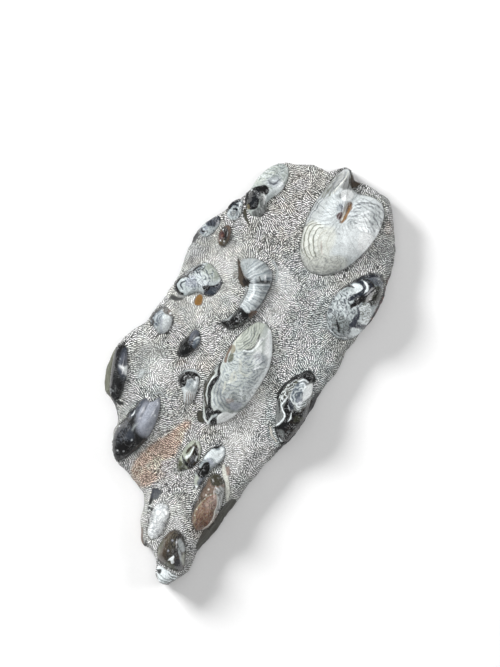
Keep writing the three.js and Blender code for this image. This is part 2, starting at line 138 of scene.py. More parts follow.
def spline(points: Array, closed: bool, spacing: float) -> Array:
    """A Catmull-Rom curve through points, resampled at an even spacing.

    Between two points p1 and p2 with neighbours p0 and p3 the curve is
    0.5 * (2 p1 + (p2 - p0) t + (2 p0 - 5 p1 + 4 p2 - p3) t^2 + (3 p1 - p0 - 3 p2 + p3) t^3).

    Args:
        points: n points of any dimension.
        closed: whether the curve returns to its first point.
        spacing: distance between the samples.

    Returns:
        The samples. A closed curve doesn't repeat its first one.
    """
    if closed:
        p0, p1, p2, p3 = (np.roll(points, k, axis=0) for k in (1, 0, -1, -2))
    else:
        ends = np.vstack([2 * points[0] - points[1], points, 2 * points[-1] - points[-2]])
        p0, p1, p2, p3 = ends[:-3], ends[1:-2], ends[2:-1], ends[3:]
    t = np.linspace(0, 1, 16, endpoint=False)[None, :, None]
    p0, p1, p2, p3 = (p[:, None, :] for p in (p0, p1, p2, p3))
    dense = 0.5 * (
        2 * p1
        + (p2 - p0) * t
        + (2 * p0 - 5 * p1 + 4 * p2 - p3) * t**2
        + (3 * p1 - p0 - 3 * p2 + p3) * t**3
    )
    dense = dense.reshape(-1, points.shape[1])
    dense = np.vstack([dense, dense[:1] if closed else points[-1:]])
    run = np.r_[0, np.cumsum(np.linalg.norm(np.diff(dense[:, :2], axis=0), axis=1))]
    count = max(3, round(run[-1] / spacing))
    at = np.linspace(0, run[-1], count, endpoint=False) if closed else np.linspace(0, run[-1], count)
    return np.stack([np.interp(at, run, column) for column in dense.T], axis=1)


def inward_normals(loop: Array) -> Array:
    """Unit normals of a closed anticlockwise loop, pointing into it.

    Args:
        loop: its points, one a row.

    Returns:
        One normal for each point.
    """
    along = np.roll(loop, -1, axis=0) - np.roll(loop, 1, axis=0)
    normal = np.stack([-along[:, 1], along[:, 0]], axis=1)
    return normal / np.linalg.norm(normal, axis=1, keepdims=True)


def sided_distance(start: Array, end: Array, at: Array) -> Array:
    """Distance from points to sides of a closed loop, positive inside it.

    A point is inside where a ray from it to +X crosses an odd number of sides.

    Args:
        start: where each side starts.
        end: where each side ends.
        at: points, one a row.

    Returns:
        One distance for each point.
    """
    side = end - start
    length = (side**2).sum(1)
    away = at[:, None, :] - start[None]
    share = np.clip((away * side).sum(2) / length, 0, 1)
    near = np.sqrt(((away - share[..., None] * side) ** 2).sum(2)).min(1)
    above = start[None, :, 1] > at[:, 1:2], end[None, :, 1] > at[:, 1:2]
    rise = np.where(side[:, 1] == 0, 1e-12, side[:, 1])
    crossing = at[:, :1] < start[None, :, 0] + (at[:, 1:2] - start[None, :, 1]) / rise * side[:, 0]
    inside = ((above[0] != above[1]) & crossing).sum(1) % 2 == 1
    return np.where(inside, near, -near)


def inside_distance(loop: Array, at: Array) -> Array:
    """Distance from points to a closed loop, positive inside it.

    Far from the loop the distance is read off a coarse grid. Near it, rows of points are measured
    against the sides at their height.

    Args:
        loop: the loop's corners.
        at: points, one a row.

    Returns:
        One distance for each point.
    """
    few, coarse_rows, near_rows = 300000, 2000, 1500  # pairs measured at once, and points at a time
    step, reach, spare = 2.5, 5.0, 2  # of the grid, of the near points, and of height round them
    after = np.roll(loop, -1, axis=0)
    if len(at) * len(loop) < few:
        return sided_distance(loop, after, at) if len(at) else np.empty(0)
    low = at.min(0) - step
    grid, shape = Raster.grid(low, at.max(0) + 2 * step, step)
    thin = loop[:: max(1, int(len(loop) / np.ptp(loop, 0).sum()))]
    parts = [
        sided_distance(thin, np.roll(thin, -1, axis=0), rows)
        for rows in np.array_split(grid, 1 + len(grid) // coarse_rows)
    ]
    result = Raster(low, step, np.concatenate(parts).reshape(shape))(at)
    near = np.flatnonzero(np.abs(result) < reach)
    near = near[np.argsort(at[near, 1])]
    for rows in np.array_split(near, 1 + len(near) // near_rows):
        if not len(rows):
            continue
        bottom, top = at[rows[0], 1] - reach - spare, at[rows[-1], 1] + reach + spare
        kept = (np.maximum(loop[:, 1], after[:, 1]) > bottom) & (np.minimum(loop[:, 1], after[:, 1]) < top)
        result[rows] = sided_distance(loop[kept], after[kept], at[rows])
    return result


def line_distance(line: Array, half: Array, at: Array) -> Array:
    """How far points lie inside a band: the greatest half width less distance over its samples.

    Args:
        line: samples of the middle of the band.
        half: its half width at each of them.
        at: the points in plan, one a row.

    Returns:
        One depth for each point, below 0 outside.
    """
    result = np.empty(len(at))
    for first in range(0, len(at), CHUNK):
        rows = slice(first, first + CHUNK)
        away = np.sqrt(((at[rows, None, :] - line[None]) ** 2).sum(2))
        result[rows] = (half[None] - away).max(1)
    return result


@dataclass(frozen=True)
class Noise:
    """Smooth repeatable unevenness in plan: values on a square lattice, faded between its points."""

    seed: int
    size: float
    octaves: int = 3

    CELLS = 128  # along a side of the lattice, which then repeats

    def __call__(self, at: Array) -> Array:
        """The noise at points, mostly from -1 to 1: octaves of half the size and half the height.

        Args:
            at: the points in plan, one a row.

        Returns:
            One value for each point.
        """
        table = np.random.default_rng(self.seed).uniform(-1, 1, (self.octaves, self.CELLS, self.CELLS))
        total, height, size = np.zeros(len(at)), 1.0, self.size
        for values in table:
            cell = np.floor(at / size).astype(int)
            part = at / size - cell
            fade = part * part * (3 - 2 * part)
            i, j = cell[:, 0] % self.CELLS, cell[:, 1] % self.CELLS
            i2, j2 = (i + 1) % self.CELLS, (j + 1) % self.CELLS
            low = values[i, j] * (1 - fade[:, 0]) + values[i2, j] * fade[:, 0]
            high = values[i, j2] * (1 - fade[:, 0]) + values[i2, j2] * fade[:, 0]
            total += height * (low * (1 - fade[:, 1]) + high * fade[:, 1])
            height, size = height / 2, size / 2
        return total


def wander(at: Array, seed: int, size: float, reach: float) -> Array:
    """The points, each moved by smooth noise up to about reach."""
    move = np.stack([Noise(seed, size, 2)(at), Noise(seed + 1, size, 2)(at)], axis=1)
    return at + reach * move


@dataclass
class Raster:
    """Values on a square grid over the plate, read between its points by bilinear interpolation."""

    low: Array
    step: float
    values: Array  # rows along y, columns along x

    @staticmethod
    def grid(low: Point, high: Point, step: float) -> tuple[Array, tuple[int, int]]:
        """The grid's points, row by row, and its shape.

        Args:
            low: the lowest corner.
            high: the highest corner.
            step: the grid's step.

        Returns:
            The points and (rows, columns).
        """
        xs = np.arange(low[0], high[0], step)
        ys = np.arange(low[1], high[1], step)
        gx, gy = np.meshgrid(xs, ys)
        return np.stack([gx.ravel(), gy.ravel()], axis=1), gx.shape

    def __call__(self, at: Array) -> Array:
        """The values at points.

        Args:
            at: the points in plan, one a row.

        Returns:
            One value for each point, held to the border outside the grid.
        """
        place = (at - self.low) / self.step
        rows, columns = self.values.shape
        i = np.clip(place[:, 0], 0, columns - 1.001)
        j = np.clip(place[:, 1], 0, rows - 1.001)
        i0, j0 = i.astype(int), j.astype(int)
        u, v = i - i0, j - j0
        low = self.values[j0, i0] * (1 - u) + self.values[j0, i0 + 1] * u
        high = self.values[j0 + 1, i0] * (1 - u) + self.values[j0 + 1, i0 + 1] * u
        return low * (1 - v) + high * v


def blurred(values: Array, weights: Array, cells: float) -> Array:
    """A Gaussian blur in which only weighted values count, so that it also fills what lies between.

    The transform of a Gaussian of standard deviation s is exp(-2 (pi s f)^2) at frequency f.

    Args:
        values: a grid.
        weights: the same grid's weights.
        cells: the blur's standard deviation, in grid steps.

    Returns:
        The blurred grid.
    """
    fy = np.fft.fftfreq(values.shape[0])[:, None]
    fx = np.fft.rfftfreq(values.shape[1])[None]
    kernel = np.exp(-2 * (math.pi * cells) ** 2 * (fx**2 + fy**2))

    def spread(grid: Array) -> Array:
        """The grid, blurred."""
        return np.fft.irfft2(np.fft.rfft2(grid) * kernel, s=grid.shape)

    return spread(values * weights) / np.maximum(spread(weights), 1e-4)


# ------------------------------------------------------------------------------ painted marks


OUTLINE_SPACING = 1.5  # between the samples of a mark's outline


def within(shape: Array, margin: float, at: Array) -> Array:
    """Which points lie in the box round a shape, widened by a margin."""
    return ((at > shape.min(0) - margin) & (at < shape.max(0) + margin)).all(1)


def spread_out(kept: Array, values: Array) -> Array:
    """Values for the kept points among all points, and 0 for the others.

    Args:
        kept: which points are kept.
        values: one for each kept point.

    Returns:
        One value for each point.
    """
    result = np.zeros(len(kept))
    result[kept] = values
    return result


def pairs(flat: Sequence[float]) -> Array:
    """Points, one a row, from their x and y in turn."""
    return np.reshape(flat, (-1, 2))


@dataclass(frozen=True)
class Band:
    """A band of one tone along a smooth line, as wide on each side as its half widths."""

    tone: Tone
    line: tuple[float, ...]  # x and y in turn, as in every mark
    half: tuple[float, ...]
    soft: float = 0.7
    share: float = 1.0

    SPACING = 0.6  # between the samples of the line

    def cover(self, at: Array) -> Array:
        """How much of the tone each point takes: a step over the soft width at the band's edge.

        Args:
            at: the points in plan, one a row.

        Returns:
            Shares from 0 to 1.
        """
        line = pairs(self.line)
        half = np.interp(np.linspace(0, 1, len(line)), np.linspace(0, 1, len(self.half)), self.half)
        samples = spline(np.column_stack([line, half]), False, self.SPACING)
        inner = within(samples[:, :2], self.soft + half.max(), at)
        distance = line_distance(samples[:, :2], samples[:, 2], at[inner])
        return spread_out(inner, self.share * ramp(distance / self.soft))


@dataclass(frozen=True)
class Patch:
    """A patch of one tone inside a smooth outline."""

    tone: Tone
    outline: tuple[float, ...]
    soft: float = 0.9
    share: float = 1.0

    def cover(self, at: Array) -> Array:
        """How much of the tone each point takes: a step over the soft width at the outline.

        Args:
            at: the points in plan, one a row.

        Returns:
            Shares from 0 to 1.
        """
        loop = spline(pairs(self.outline), True, OUTLINE_SPACING)
        inner = within(loop, self.soft, at)
        return spread_out(inner, self.share * ramp(inside_distance(loop, at[inner]) / self.soft))


@dataclass(frozen=True)
class Dots:
    """Round spots of one tone and one size."""

    tone: Tone
    places: tuple[float, ...]
    radius: float
    soft: float = 0.7
    share: float = 1.0

    def cover(self, at: Array) -> Array:
        """How much of the tone each point takes: a step over the soft width at each spot's edge.

        Args:
            at: the points in plan, one a row.

        Returns:
            Shares from 0 to 1.
        """
        places = pairs(self.places)
        inner = within(places, self.soft + self.radius, at)
        distance = line_distance(places, np.full(len(places), self.radius), at[inner])
        return spread_out(inner, self.share * ramp(distance / self.soft))


@dataclass(frozen=True)
class Ripples:
    """Fine level lines inside an outline, the sutures and growth lines of a shell.

    They circle a focus, or leave it like a fan. A stretch above 1 draws the circles out along the
    direction tilt, in degrees from +X, and the wave bends them.
    """

    tone: Tone
    outline: tuple[float, ...]
    focus: Point
    pitch: float
    wave: float = 1.0
    wave_size: float = 5.0
    width: float = 0.3
    soft: float = 3.0
    share: float = 0.6
    seed: int = 7
    stretch: float = 1.0
    tilt: float = 0.0
    fan_radius: float = 0.0

    FADE = 0.9  # of the sine's height over which a line's edge fades

    def cover(self, at: Array) -> Array:
        """How much of the tone each point takes.

        The phase is the stretched distance from the focus over the pitch, or for a fan the angle
        times its radius over the pitch. A line is where the phase's sine passes 1 - 2 * width.

        Args:
            at: the points in plan, one a row.

        Returns:
            Shares from 0 to 1.
        """
        loop = spline(pairs(self.outline), True, OUTLINE_SPACING)
        inner = within(loop, self.soft, at)
        at = at[inner]
        moved = wander(at, self.seed, self.wave_size, self.wave) - np.array(self.focus)
        turn = math.radians(self.tilt)
        along = moved @ np.array([math.cos(turn), math.sin(turn)]) / self.stretch
        across = moved @ np.array([-math.sin(turn), math.cos(turn)])
        distance = np.hypot(along, across)
        if self.fan_radius:
            distance = np.arctan2(across, along) * self.fan_radius
        level = np.sin(2 * math.pi * distance / self.pitch) - (1 - 2 * self.width)
        inside = ramp(inside_distance(loop, at) / self.soft)
        return spread_out(inner, self.share * inside * ramp(level / self.FADE))


Mark = Union[Band, Patch, Dots, Ripples]


def by_hand(at: Array) -> Array:
    """The points as marks see them, strayed a little so that no edge is quite smooth."""
    return wander(at, 11, 4.0, 0.45)


def covered(marks: Sequence[Mark], at: Array) -> Array:
    """How much of each point marks hide: 1 - the product of (1 - cover) over them.

    Args:
        marks: what is laid down.
        at: the points in plan, one a row.

    Returns:
        Shares from 0 to 1.
    """
    loose, clear = by_hand(at), np.ones(len(at))
    for mark in marks:
        clear *= 1 - mark.cover(loose)
    return 1 - clear


def painted(colour: Array, marks: Sequence[Mark], at: Array) -> Array:
    """Colours with marks laid over them in order.

    Args:
        colour: one linear colour for each point, or one for all.
        marks: what is laid over them.
        at: the points in plan.

    Returns:
        The new colours.
    """
    loose, colour = by_hand(at), np.broadcast_to(colour, (len(at), 3))
    for mark in marks:
        cover = mark.cover(loose)[:, None]
        colour = colour * (1 - cover) + mark.tone.linear() * cover
    return colour


# ------------------------------------------------------------------------------ shader graphs


Value = Union["Signal", bpy.types.NodeSocket, float, Sequence[float]]
STROKE = 3.5  # about the length of a chisel stroke, twice their pitch
STONE_BEND = 1.5  # index of refraction of limestone and calcite


class Signal:
    """A socket of a material's graph, on which Python's operators add Math nodes."""

    def __init__(self, graph: "Graph", socket: bpy.types.NodeSocket) -> None:
        """Wraps an output socket."""
        self.graph = graph
        self.socket = socket

    def _math(self, operation: str, first: Value, second: Value) -> "Signal":
        """The result of a Math node with that operation on two values."""
        node = self.graph.node("ShaderNodeMath", {"operation": operation}, {0: first, 1: second})
        return Signal(self.graph, node.outputs[0])

    def __add__(self, other: Value) -> "Signal":
        """Sum."""
        return self._math("ADD", self, other)

    def __sub__(self, other: Value) -> "Signal":
        """Difference."""
        return self._math("SUBTRACT", self, other)

    def __rsub__(self, other: Value) -> "Signal":
        """Difference from a number."""
        return self._math("SUBTRACT", other, self)

    def __mul__(self, other: Value) -> "Signal":
        """Product."""
        return self._math("MULTIPLY", self, other)

    __radd__ = __add__
    __rmul__ = __mul__

    def stepped(self, low: float, high: float) -> "Signal":
        """A smooth step from 0 at low to 1 at high.

        Args:
            low: where it starts.
            high: where it ends.

        Returns:
            The step.
        """
        node = self.graph.node(
            "ShaderNodeMapRange",
            {"interpolation_type": "SMOOTHSTEP"},
            {"Value": self, "From Min": low, "From Max": high},
        )
        return Signal(self.graph, node.outputs["Result"])


class Graph:
    """The node graph of one material."""

    def __init__(self, name: str) -> None:
        """Makes an empty material of that name.

        Args:
            name: the name.
        """
        self.material = bpy.data.materials.new(name)
        self.material.use_nodes = True
        self.tree = self.material.node_tree
        self.tree.nodes.clear()
        self.place = self.node("ShaderNodeTexCoord").outputs["Object"]

    def node(self, kind: str, settings: dict | None = None, inputs: dict | None = None) -> bpy.types.Node:
        """Adds a node.

        Args:
            kind: its type.
            settings: its properties, set first.
            inputs: values or links of its sockets, by name or number.

        Returns:
            The node.
        """
        made = self.tree.nodes.new(kind)
        for name, value in (settings or {}).items():
            setattr(made, name, value)
        for name, value in (inputs or {}).items():
            source = value.socket if isinstance(value, Signal) else value
            socket = next((found for found in made.inputs if found.identifier == name), None)
            socket = socket or made.inputs[name]
            if isinstance(source, bpy.types.NodeSocket):
                self.tree.links.new(source, socket)
            else:
                socket.default_value = source
        return made

    def attribute(self, name: str, output: str = "Fac") -> Signal:
        """What the mesh keeps under a name."""
        return Signal(self, self.node("ShaderNodeAttribute", {"attribute_name": name}).outputs[output])

    def noise(self, size: float, detail: float = 3.0, roughness: float = 0.55, warp: float = 0.0) -> Signal:
        """Noise from 0 to 1 in the plate's own frame, with lumps of about the size in millimetres.

        Args:
            size: of a lump, in millimetres.
            detail: how many finer octaves it has.
            roughness: how strong they are.
            warp: how strongly it is folded.

        Returns:
            The noise.
        """
        node = self.node(
            "ShaderNodeTexNoise",
            {"noise_dimensions": "3D"},
            {
                "Vector": self.place,
                "Scale": 1 / (size * MM),
                "Detail": detail,
                "Roughness": roughness,
                "Distortion": warp,
            },
        )
        return Signal(self, node.outputs["Fac"])

    def seams(self, size: float, count: float, warp: float) -> Signal:
        """Thin winding lines where noise passes evenly spaced levels.

        Args:
            size: the lumps of the noise in millimetres.
            count: levels from the noise's 0 to its 1.
            warp: how strongly the noise is folded.

        Returns:
            1 on the lines and 0 between them: sin(2 pi count noise), stepped from 0.55 to 0.95.
        """
        phase = self.noise(size, 1.5, 0.5, warp) * (2 * math.pi * count)
        wave = self.node("ShaderNodeMath", {"operation": "SINE"}, {0: phase})
        return Signal(self, wave.outputs[0]).stepped(0.55, 0.95)

    def strokes(self) -> Signal:
        """Chisel strokes along the kept directions, from 0 in the gaps to 1, none where it is smooth.

        Returns:
            Gabor noise, made ragged, lowered by the smoothness and stepped.
        """
        comb = self.node("ShaderNodeSeparateColor", {}, {0: self.attribute("comb", "Color")})
        cosine, sine, smooth = (Signal(self, comb.outputs[k]) for k in range(3))
        turn = self.node("ShaderNodeMath", {"operation": "ARCTAN2"}, {0: sine - 0.5, 1: cosine - 0.5})
        across = Signal(self, turn.outputs[0]) * 0.5 + math.pi / 2
        waves = self.node(
            "ShaderNodeTexGabor",
            {"gabor_type": "2D"},
            {"Vector": self.place, "Scale": 1 / (STROKE * MM), "Frequency": 2.0, "Anisotropy": 0.92,
             "Orientation 2D": across},
        )
        ragged = Signal(self, waves.outputs["Value"]) + 1.1 * self.noise(1.2, 3.0, 0.65) - 0.55
        return (ragged - 0.7 * smooth).stepped(0.48, 0.66)

    def mix(self, factor: Value, first: Value, second: Value, blend: str = "MIX") -> Signal:
        """A colour between two colours.

        Args:
            factor: 0 for the first, 1 for the second.
            first: a colour.
            second: a colour.
            blend: how the second is laid over the first.

        Returns:
            The mixed colour.
        """
        node = self.node(
            "ShaderNodeMix",
            {"data_type": "RGBA", "blend_type": blend},
            {0: factor, 6: first, 7: second},
        )
        return Signal(self, node.outputs[2])

    def scaled(self, colour: Value, factor: Value) -> Signal:
        """A colour times a number."""
        node = self.node("ShaderNodeVectorMath", {"operation": "SCALE"}, {0: colour, "Scale": factor})
        return Signal(self, node.outputs[0])

    def surface(self, height: Value, relief: float, inputs: dict) -> bpy.types.Material:
        """Closes the graph with a bump and a Principled shader.

        Args:
            height: the bump's height, from 0 to 1.
            relief: the height of 1 in millimetres.
            inputs: the shader's other sockets.

        Returns:
            The material.
        """
        bump = self.node("ShaderNodeBump", {}, {"Height": height, "Strength": 1.0, "Distance": relief * MM})
        shader = self.node("ShaderNodeBsdfPrincipled", {}, {**inputs, "Normal": bump.outputs["Normal"]})
        self.node("ShaderNodeOutputMaterial", {}, {"Surface": shader.outputs["BSDF"]})
        return self.material


@dataclass(frozen=True)
class PolishedShell:
    """Calcite of a fossil shell, ground and polished to a gloss over its painted tones."""

    name: str
    roughness: float = 0.16
    coat: float = 0.35
    vein_share: float = 0.25
    grain: float = 0.5

    VEIN = (0.72, 0.74, 0.75, 1.0)
    CRUSHED = (0.75, 0.75, 0.73, 1.0)

    def material(self) -> bpy.types.Material:
        """The painted tones with clouds, grain and pale veins, under a polish that is never quite even.

        Returns:
            The material.
        """
        g = Graph(self.name)
        clouds = g.noise(7.0, 4.0, 0.6, 0.6).stepped(0.25, 0.75)
        grain = g.noise(1.0, 4.0, 0.7).stepped(0.3, 0.7)
        level = 0.92 - 0.5 * self.grain + 0.3 * clouds + self.grain * grain
        level = level - 0.45 * g.seams(4.0, 8.0, 1.2) * g.noise(6.0, 2.0).stepped(0.35, 0.6)
        tone = g.scaled(g.attribute("paint", "Color"), level)
        vein = g.seams(5.0, 6.0, 1.0) * g.noise(7.0, 2.0).stepped(0.42, 0.62)
        tone = g.mix(vein * self.vein_share, tone, self.VEIN)
        worn = g.attribute("worn")
        bruised = g.mix(g.strokes(), g.scaled(tone, 0.45), g.mix(0.55, tone, self.CRUSHED))
        tone = g.mix(worn, tone, bruised)
        polish = self.roughness * 0.6 + self.roughness * 0.9 * g.noise(3.0, 3.0)
        return g.surface(
            g.noise(2.4, 3.0, 0.5),
            0.05,
            {"Base Color": tone, "Roughness": polish + 0.5 * worn, "IOR": STONE_BEND,
             "Coat Weight": self.coat * (1 - worn), "Coat Roughness": 0.04},
        )


@dataclass(frozen=True)
class CarvedLimestone:
    """Grey limestone with the pale bruised strokes of a narrow chisel, and its broken flank."""

    name: str = "carved_limestone"

    def material(self) -> bpy.types.Material:
        """Stone in the gaps and crushed stone in the strokes, both freckled, and matt.

        Returns:
            The material.
        """
        g = Graph(self.name)
        stroke = g.strokes()
        grain = g.noise(0.9, 3.0, 0.7).stepped(0.3, 0.7)
        gap = g.scaled(g.attribute("gap", "Color"), 0.25 + 0.9 * g.noise(1.8, 4.0, 0.65) + 0.6 * grain)
        mark = g.scaled(g.attribute("mark", "Color"), 0.6 + 0.45 * g.noise(2.6, 4.0, 0.65) + 0.34 * grain)
        tone = g.mix(stroke, gap, mark)
        grit = 0.5 * g.noise(0.7, 4.0, 0.7) + 0.4 * g.noise(2.6, 3.0) - 0.5 * stroke
        finish = {"Base Color": tone, "Roughness": 0.5 + 0.36 * stroke, "IOR": STONE_BEND}
        return g.surface(grit, 0.3, finish)


@dataclass(frozen=True)
class SawnBack:
    """The underside as the saw left it: grey, with faint level scratches."""

    name: str = "sawn_limestone"

    GREY = (0.16, 0.155, 0.145, 1.0)
    RUSTY = (0.2, 0.15, 0.11, 1.0)

    def material(self) -> bpy.types.Material:
        """Even grey stone with scratches along the plate and a few rusty clouds.

        Returns:
            The material.
        """
        g = Graph(self.name)
        scratch = g.node(
            "ShaderNodeTexWave",
            {"wave_type": "BANDS", "bands_direction": "X"},
            {"Vector": g.place, "Scale": 160.0, "Distortion": 1.2, "Detail": 3.0},
        )
        lines = Signal(g, scratch.outputs["Fac"])
        level = 0.55 + 0.2 * lines + 0.5 * g.noise(3.0, 4.0, 0.6)
        tone = g.scaled(g.mix(g.noise(40.0, 3.0).stepped(0.5, 0.8), self.GREY, self.RUSTY), level)
        return g.surface(lines, 0.08, {"Base Color": tone, "Roughness": 0.8, "IOR": STONE_BEND})


# ------------------------------------------------------------------------------ meshes


@dataclass
class Sheet:
    """Points and faces of a mesh in millimetres, with what it keeps at each point."""

    points: Array
    faces: list
    values: dict[str, Array]

    def piece(self, name: str) -> bpy.types.Object:
        """A smooth Blender object of the sheet, in metres.

        Args:
            name: the object's name.

        Returns:
            The object, with a float or colour attribute for each kept value.
        """
        mesh = bpy.data.meshes.new(name)
        mesh.from_pydata((self.points * MM).tolist(), [], self.faces)
        for key, value in self.values.items():
            if value.ndim == 1:
                kept = mesh.attributes.new(key, "FLOAT", "POINT")
                kept.data.foreach_set("value", value.astype(np.float32))
            else:
                kept = mesh.color_attributes.new(key, "FLOAT_COLOR", "POINT")
                rgba = np.column_stack([np.clip(value, 0, 1), np.ones(len(value))])
                kept.data.foreach_set("color", rgba.astype(np.float32).ravel())
        mesh.shade_smooth()
        mesh.update()
        made = bpy.data.objects.new(name, mesh)
        bpy.context.scene.collection.objects.link(made)
        return made


def ring_faces(rows: int, columns: int) -> Array:
    """Faces of a grid whose rows are closed rings of points, anticlockwise rings going inwards or up.

    Args:
        rows: how many rings.
        columns: how many points a ring has.

    Returns:
        The faces, four corners a row.
    """
    r, c = np.meshgrid(np.arange(rows - 1), np.arange(columns), indexing="ij")
    here, beside = r * columns + c, r * columns + (c + 1) % columns
    return np.stack([here, beside, beside + columns, here + columns], axis=-1).reshape(-1, 4)


class CadNode:
    """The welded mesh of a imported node, in millimetres."""

    LEAST_SIDE = 0.05  # of a section's outline

    def __init__(self, made: bpy.types.Object) -> None:
        """Reads the node's mesh and merges its doubles.

        Args:
            made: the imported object.
        """
        mesh = made.data
        mesh.calc_loop_triangles()
        points = np.empty(len(mesh.vertices) * 3)
        mesh.vertices.foreach_get("co", points)
        corners = np.empty(len(mesh.loop_triangles) * 3, dtype=np.int64)
        mesh.loop_triangles.foreach_get("vertices", corners)
        rounded = np.round(points.reshape(-1, 3) / MM, 3)
        self.points, places = np.unique(rounded, axis=0, return_inverse=True)
        triangles = places.reshape(-1)[corners].reshape(-1, 3)
        a, b, c = triangles.T
        self.triangles = triangles[(a != b) & (b != c) & (c != a)]

    def height_at(self, at: Array) -> float:
        """Height of the node's upper side at a point in plan."""
        tree = BVHTree.FromPolygons(self.points.tolist(), self.triangles.tolist())
        return tree.ray_cast(Vector((at[0], at[1], SKY)), Vector((0, 0, -1)))[0].z

    def section(self, height: float) -> Array:
        """The longest outline of the node at a height.

        Each triangle that the level cuts gives a link between two of its edges, and the links are
        followed round.

        Args:
            height: the level of the cut.

        Returns:
            The outline's corners, anticlockwise.
        """
        z = self.points[:, 2] - height
        one, two = self.triangles, np.roll(self.triangles, -1, axis=1)
        cut = (z[one] > 0) != (z[two] > 0)
        keys = np.minimum(one, two) * len(z) + np.maximum(one, two)
        links: dict[int, list[int]] = {}
        for first, second in keys[cut].reshape(-1, 2).tolist():
            links.setdefault(first, []).append(second)
            links.setdefault(second, []).append(first)
        loops = []
        while links:
            loop = [next(iter(links))]
            while True:
                ahead = [k for k in links.pop(loop[-1]) if k in links]
                if not ahead:
                    break
                loop.append(ahead[0])
            loops.append(np.array(loop))
        longest = max(loops, key=len)
        low, high = longest // len(z), longest % len(z)
        share = (z[low] / (z[low] - z[high]))[:, None]
        outline = (self.points[low] * (1 - share) + self.points[high] * share)[:, :2]
        kept = np.linalg.norm(outline - np.roll(outline, 1, axis=0), axis=1) > self.LEAST_SIDE
        outline = outline[kept]
        x, y = outline.T
        area = (x * np.roll(y, -1) - y * np.roll(x, -1)).sum()
        return outline if area > 0 else outline[::-1]


# ------------------------------------------------------------------------------ the shells


@dataclass(frozen=True)
class Ridge:
    """A ridge, or with a height below 0 a groove, along a straight line on a dome."""

    start: Point
    end: Point
    half: float
    height: float

    def __call__(self, at: Array) -> Array:
        """Its height at points: height * exp(-(distance / half)^2).

        Args:
            at: the points in plan, one a row.

        Returns:
            One height for each point.
        """
        a, side = np.array(self.start), np.subtract(self.end, self.start)
        share = np.clip((at - a) @ side / (side @ side), 0, 1)
        away = np.linalg.norm(at - a - share[:, None] * side, axis=1)
        return self.height * np.exp(-((away / self.half) ** 2))


@dataclass(frozen=True)
class Dress:
    """How one ammonite is finished: its ground tone and the marks laid over it, in order."""

    node: str
    slot: Slot
    ground: Tone
    marks: tuple[Mark, ...]
    ridges: tuple[Ridge, ...] = ()
    spine: tuple[tuple[float, float, float], ...] = ()  # x, y and half width under a long crown
    worn: float = 0.7  # width of the rim that the chisel has reached
    blank: float = 0.0  # how far the chisel has reached everywhere
    depth: float = 1.2  # power that the paint is raised to


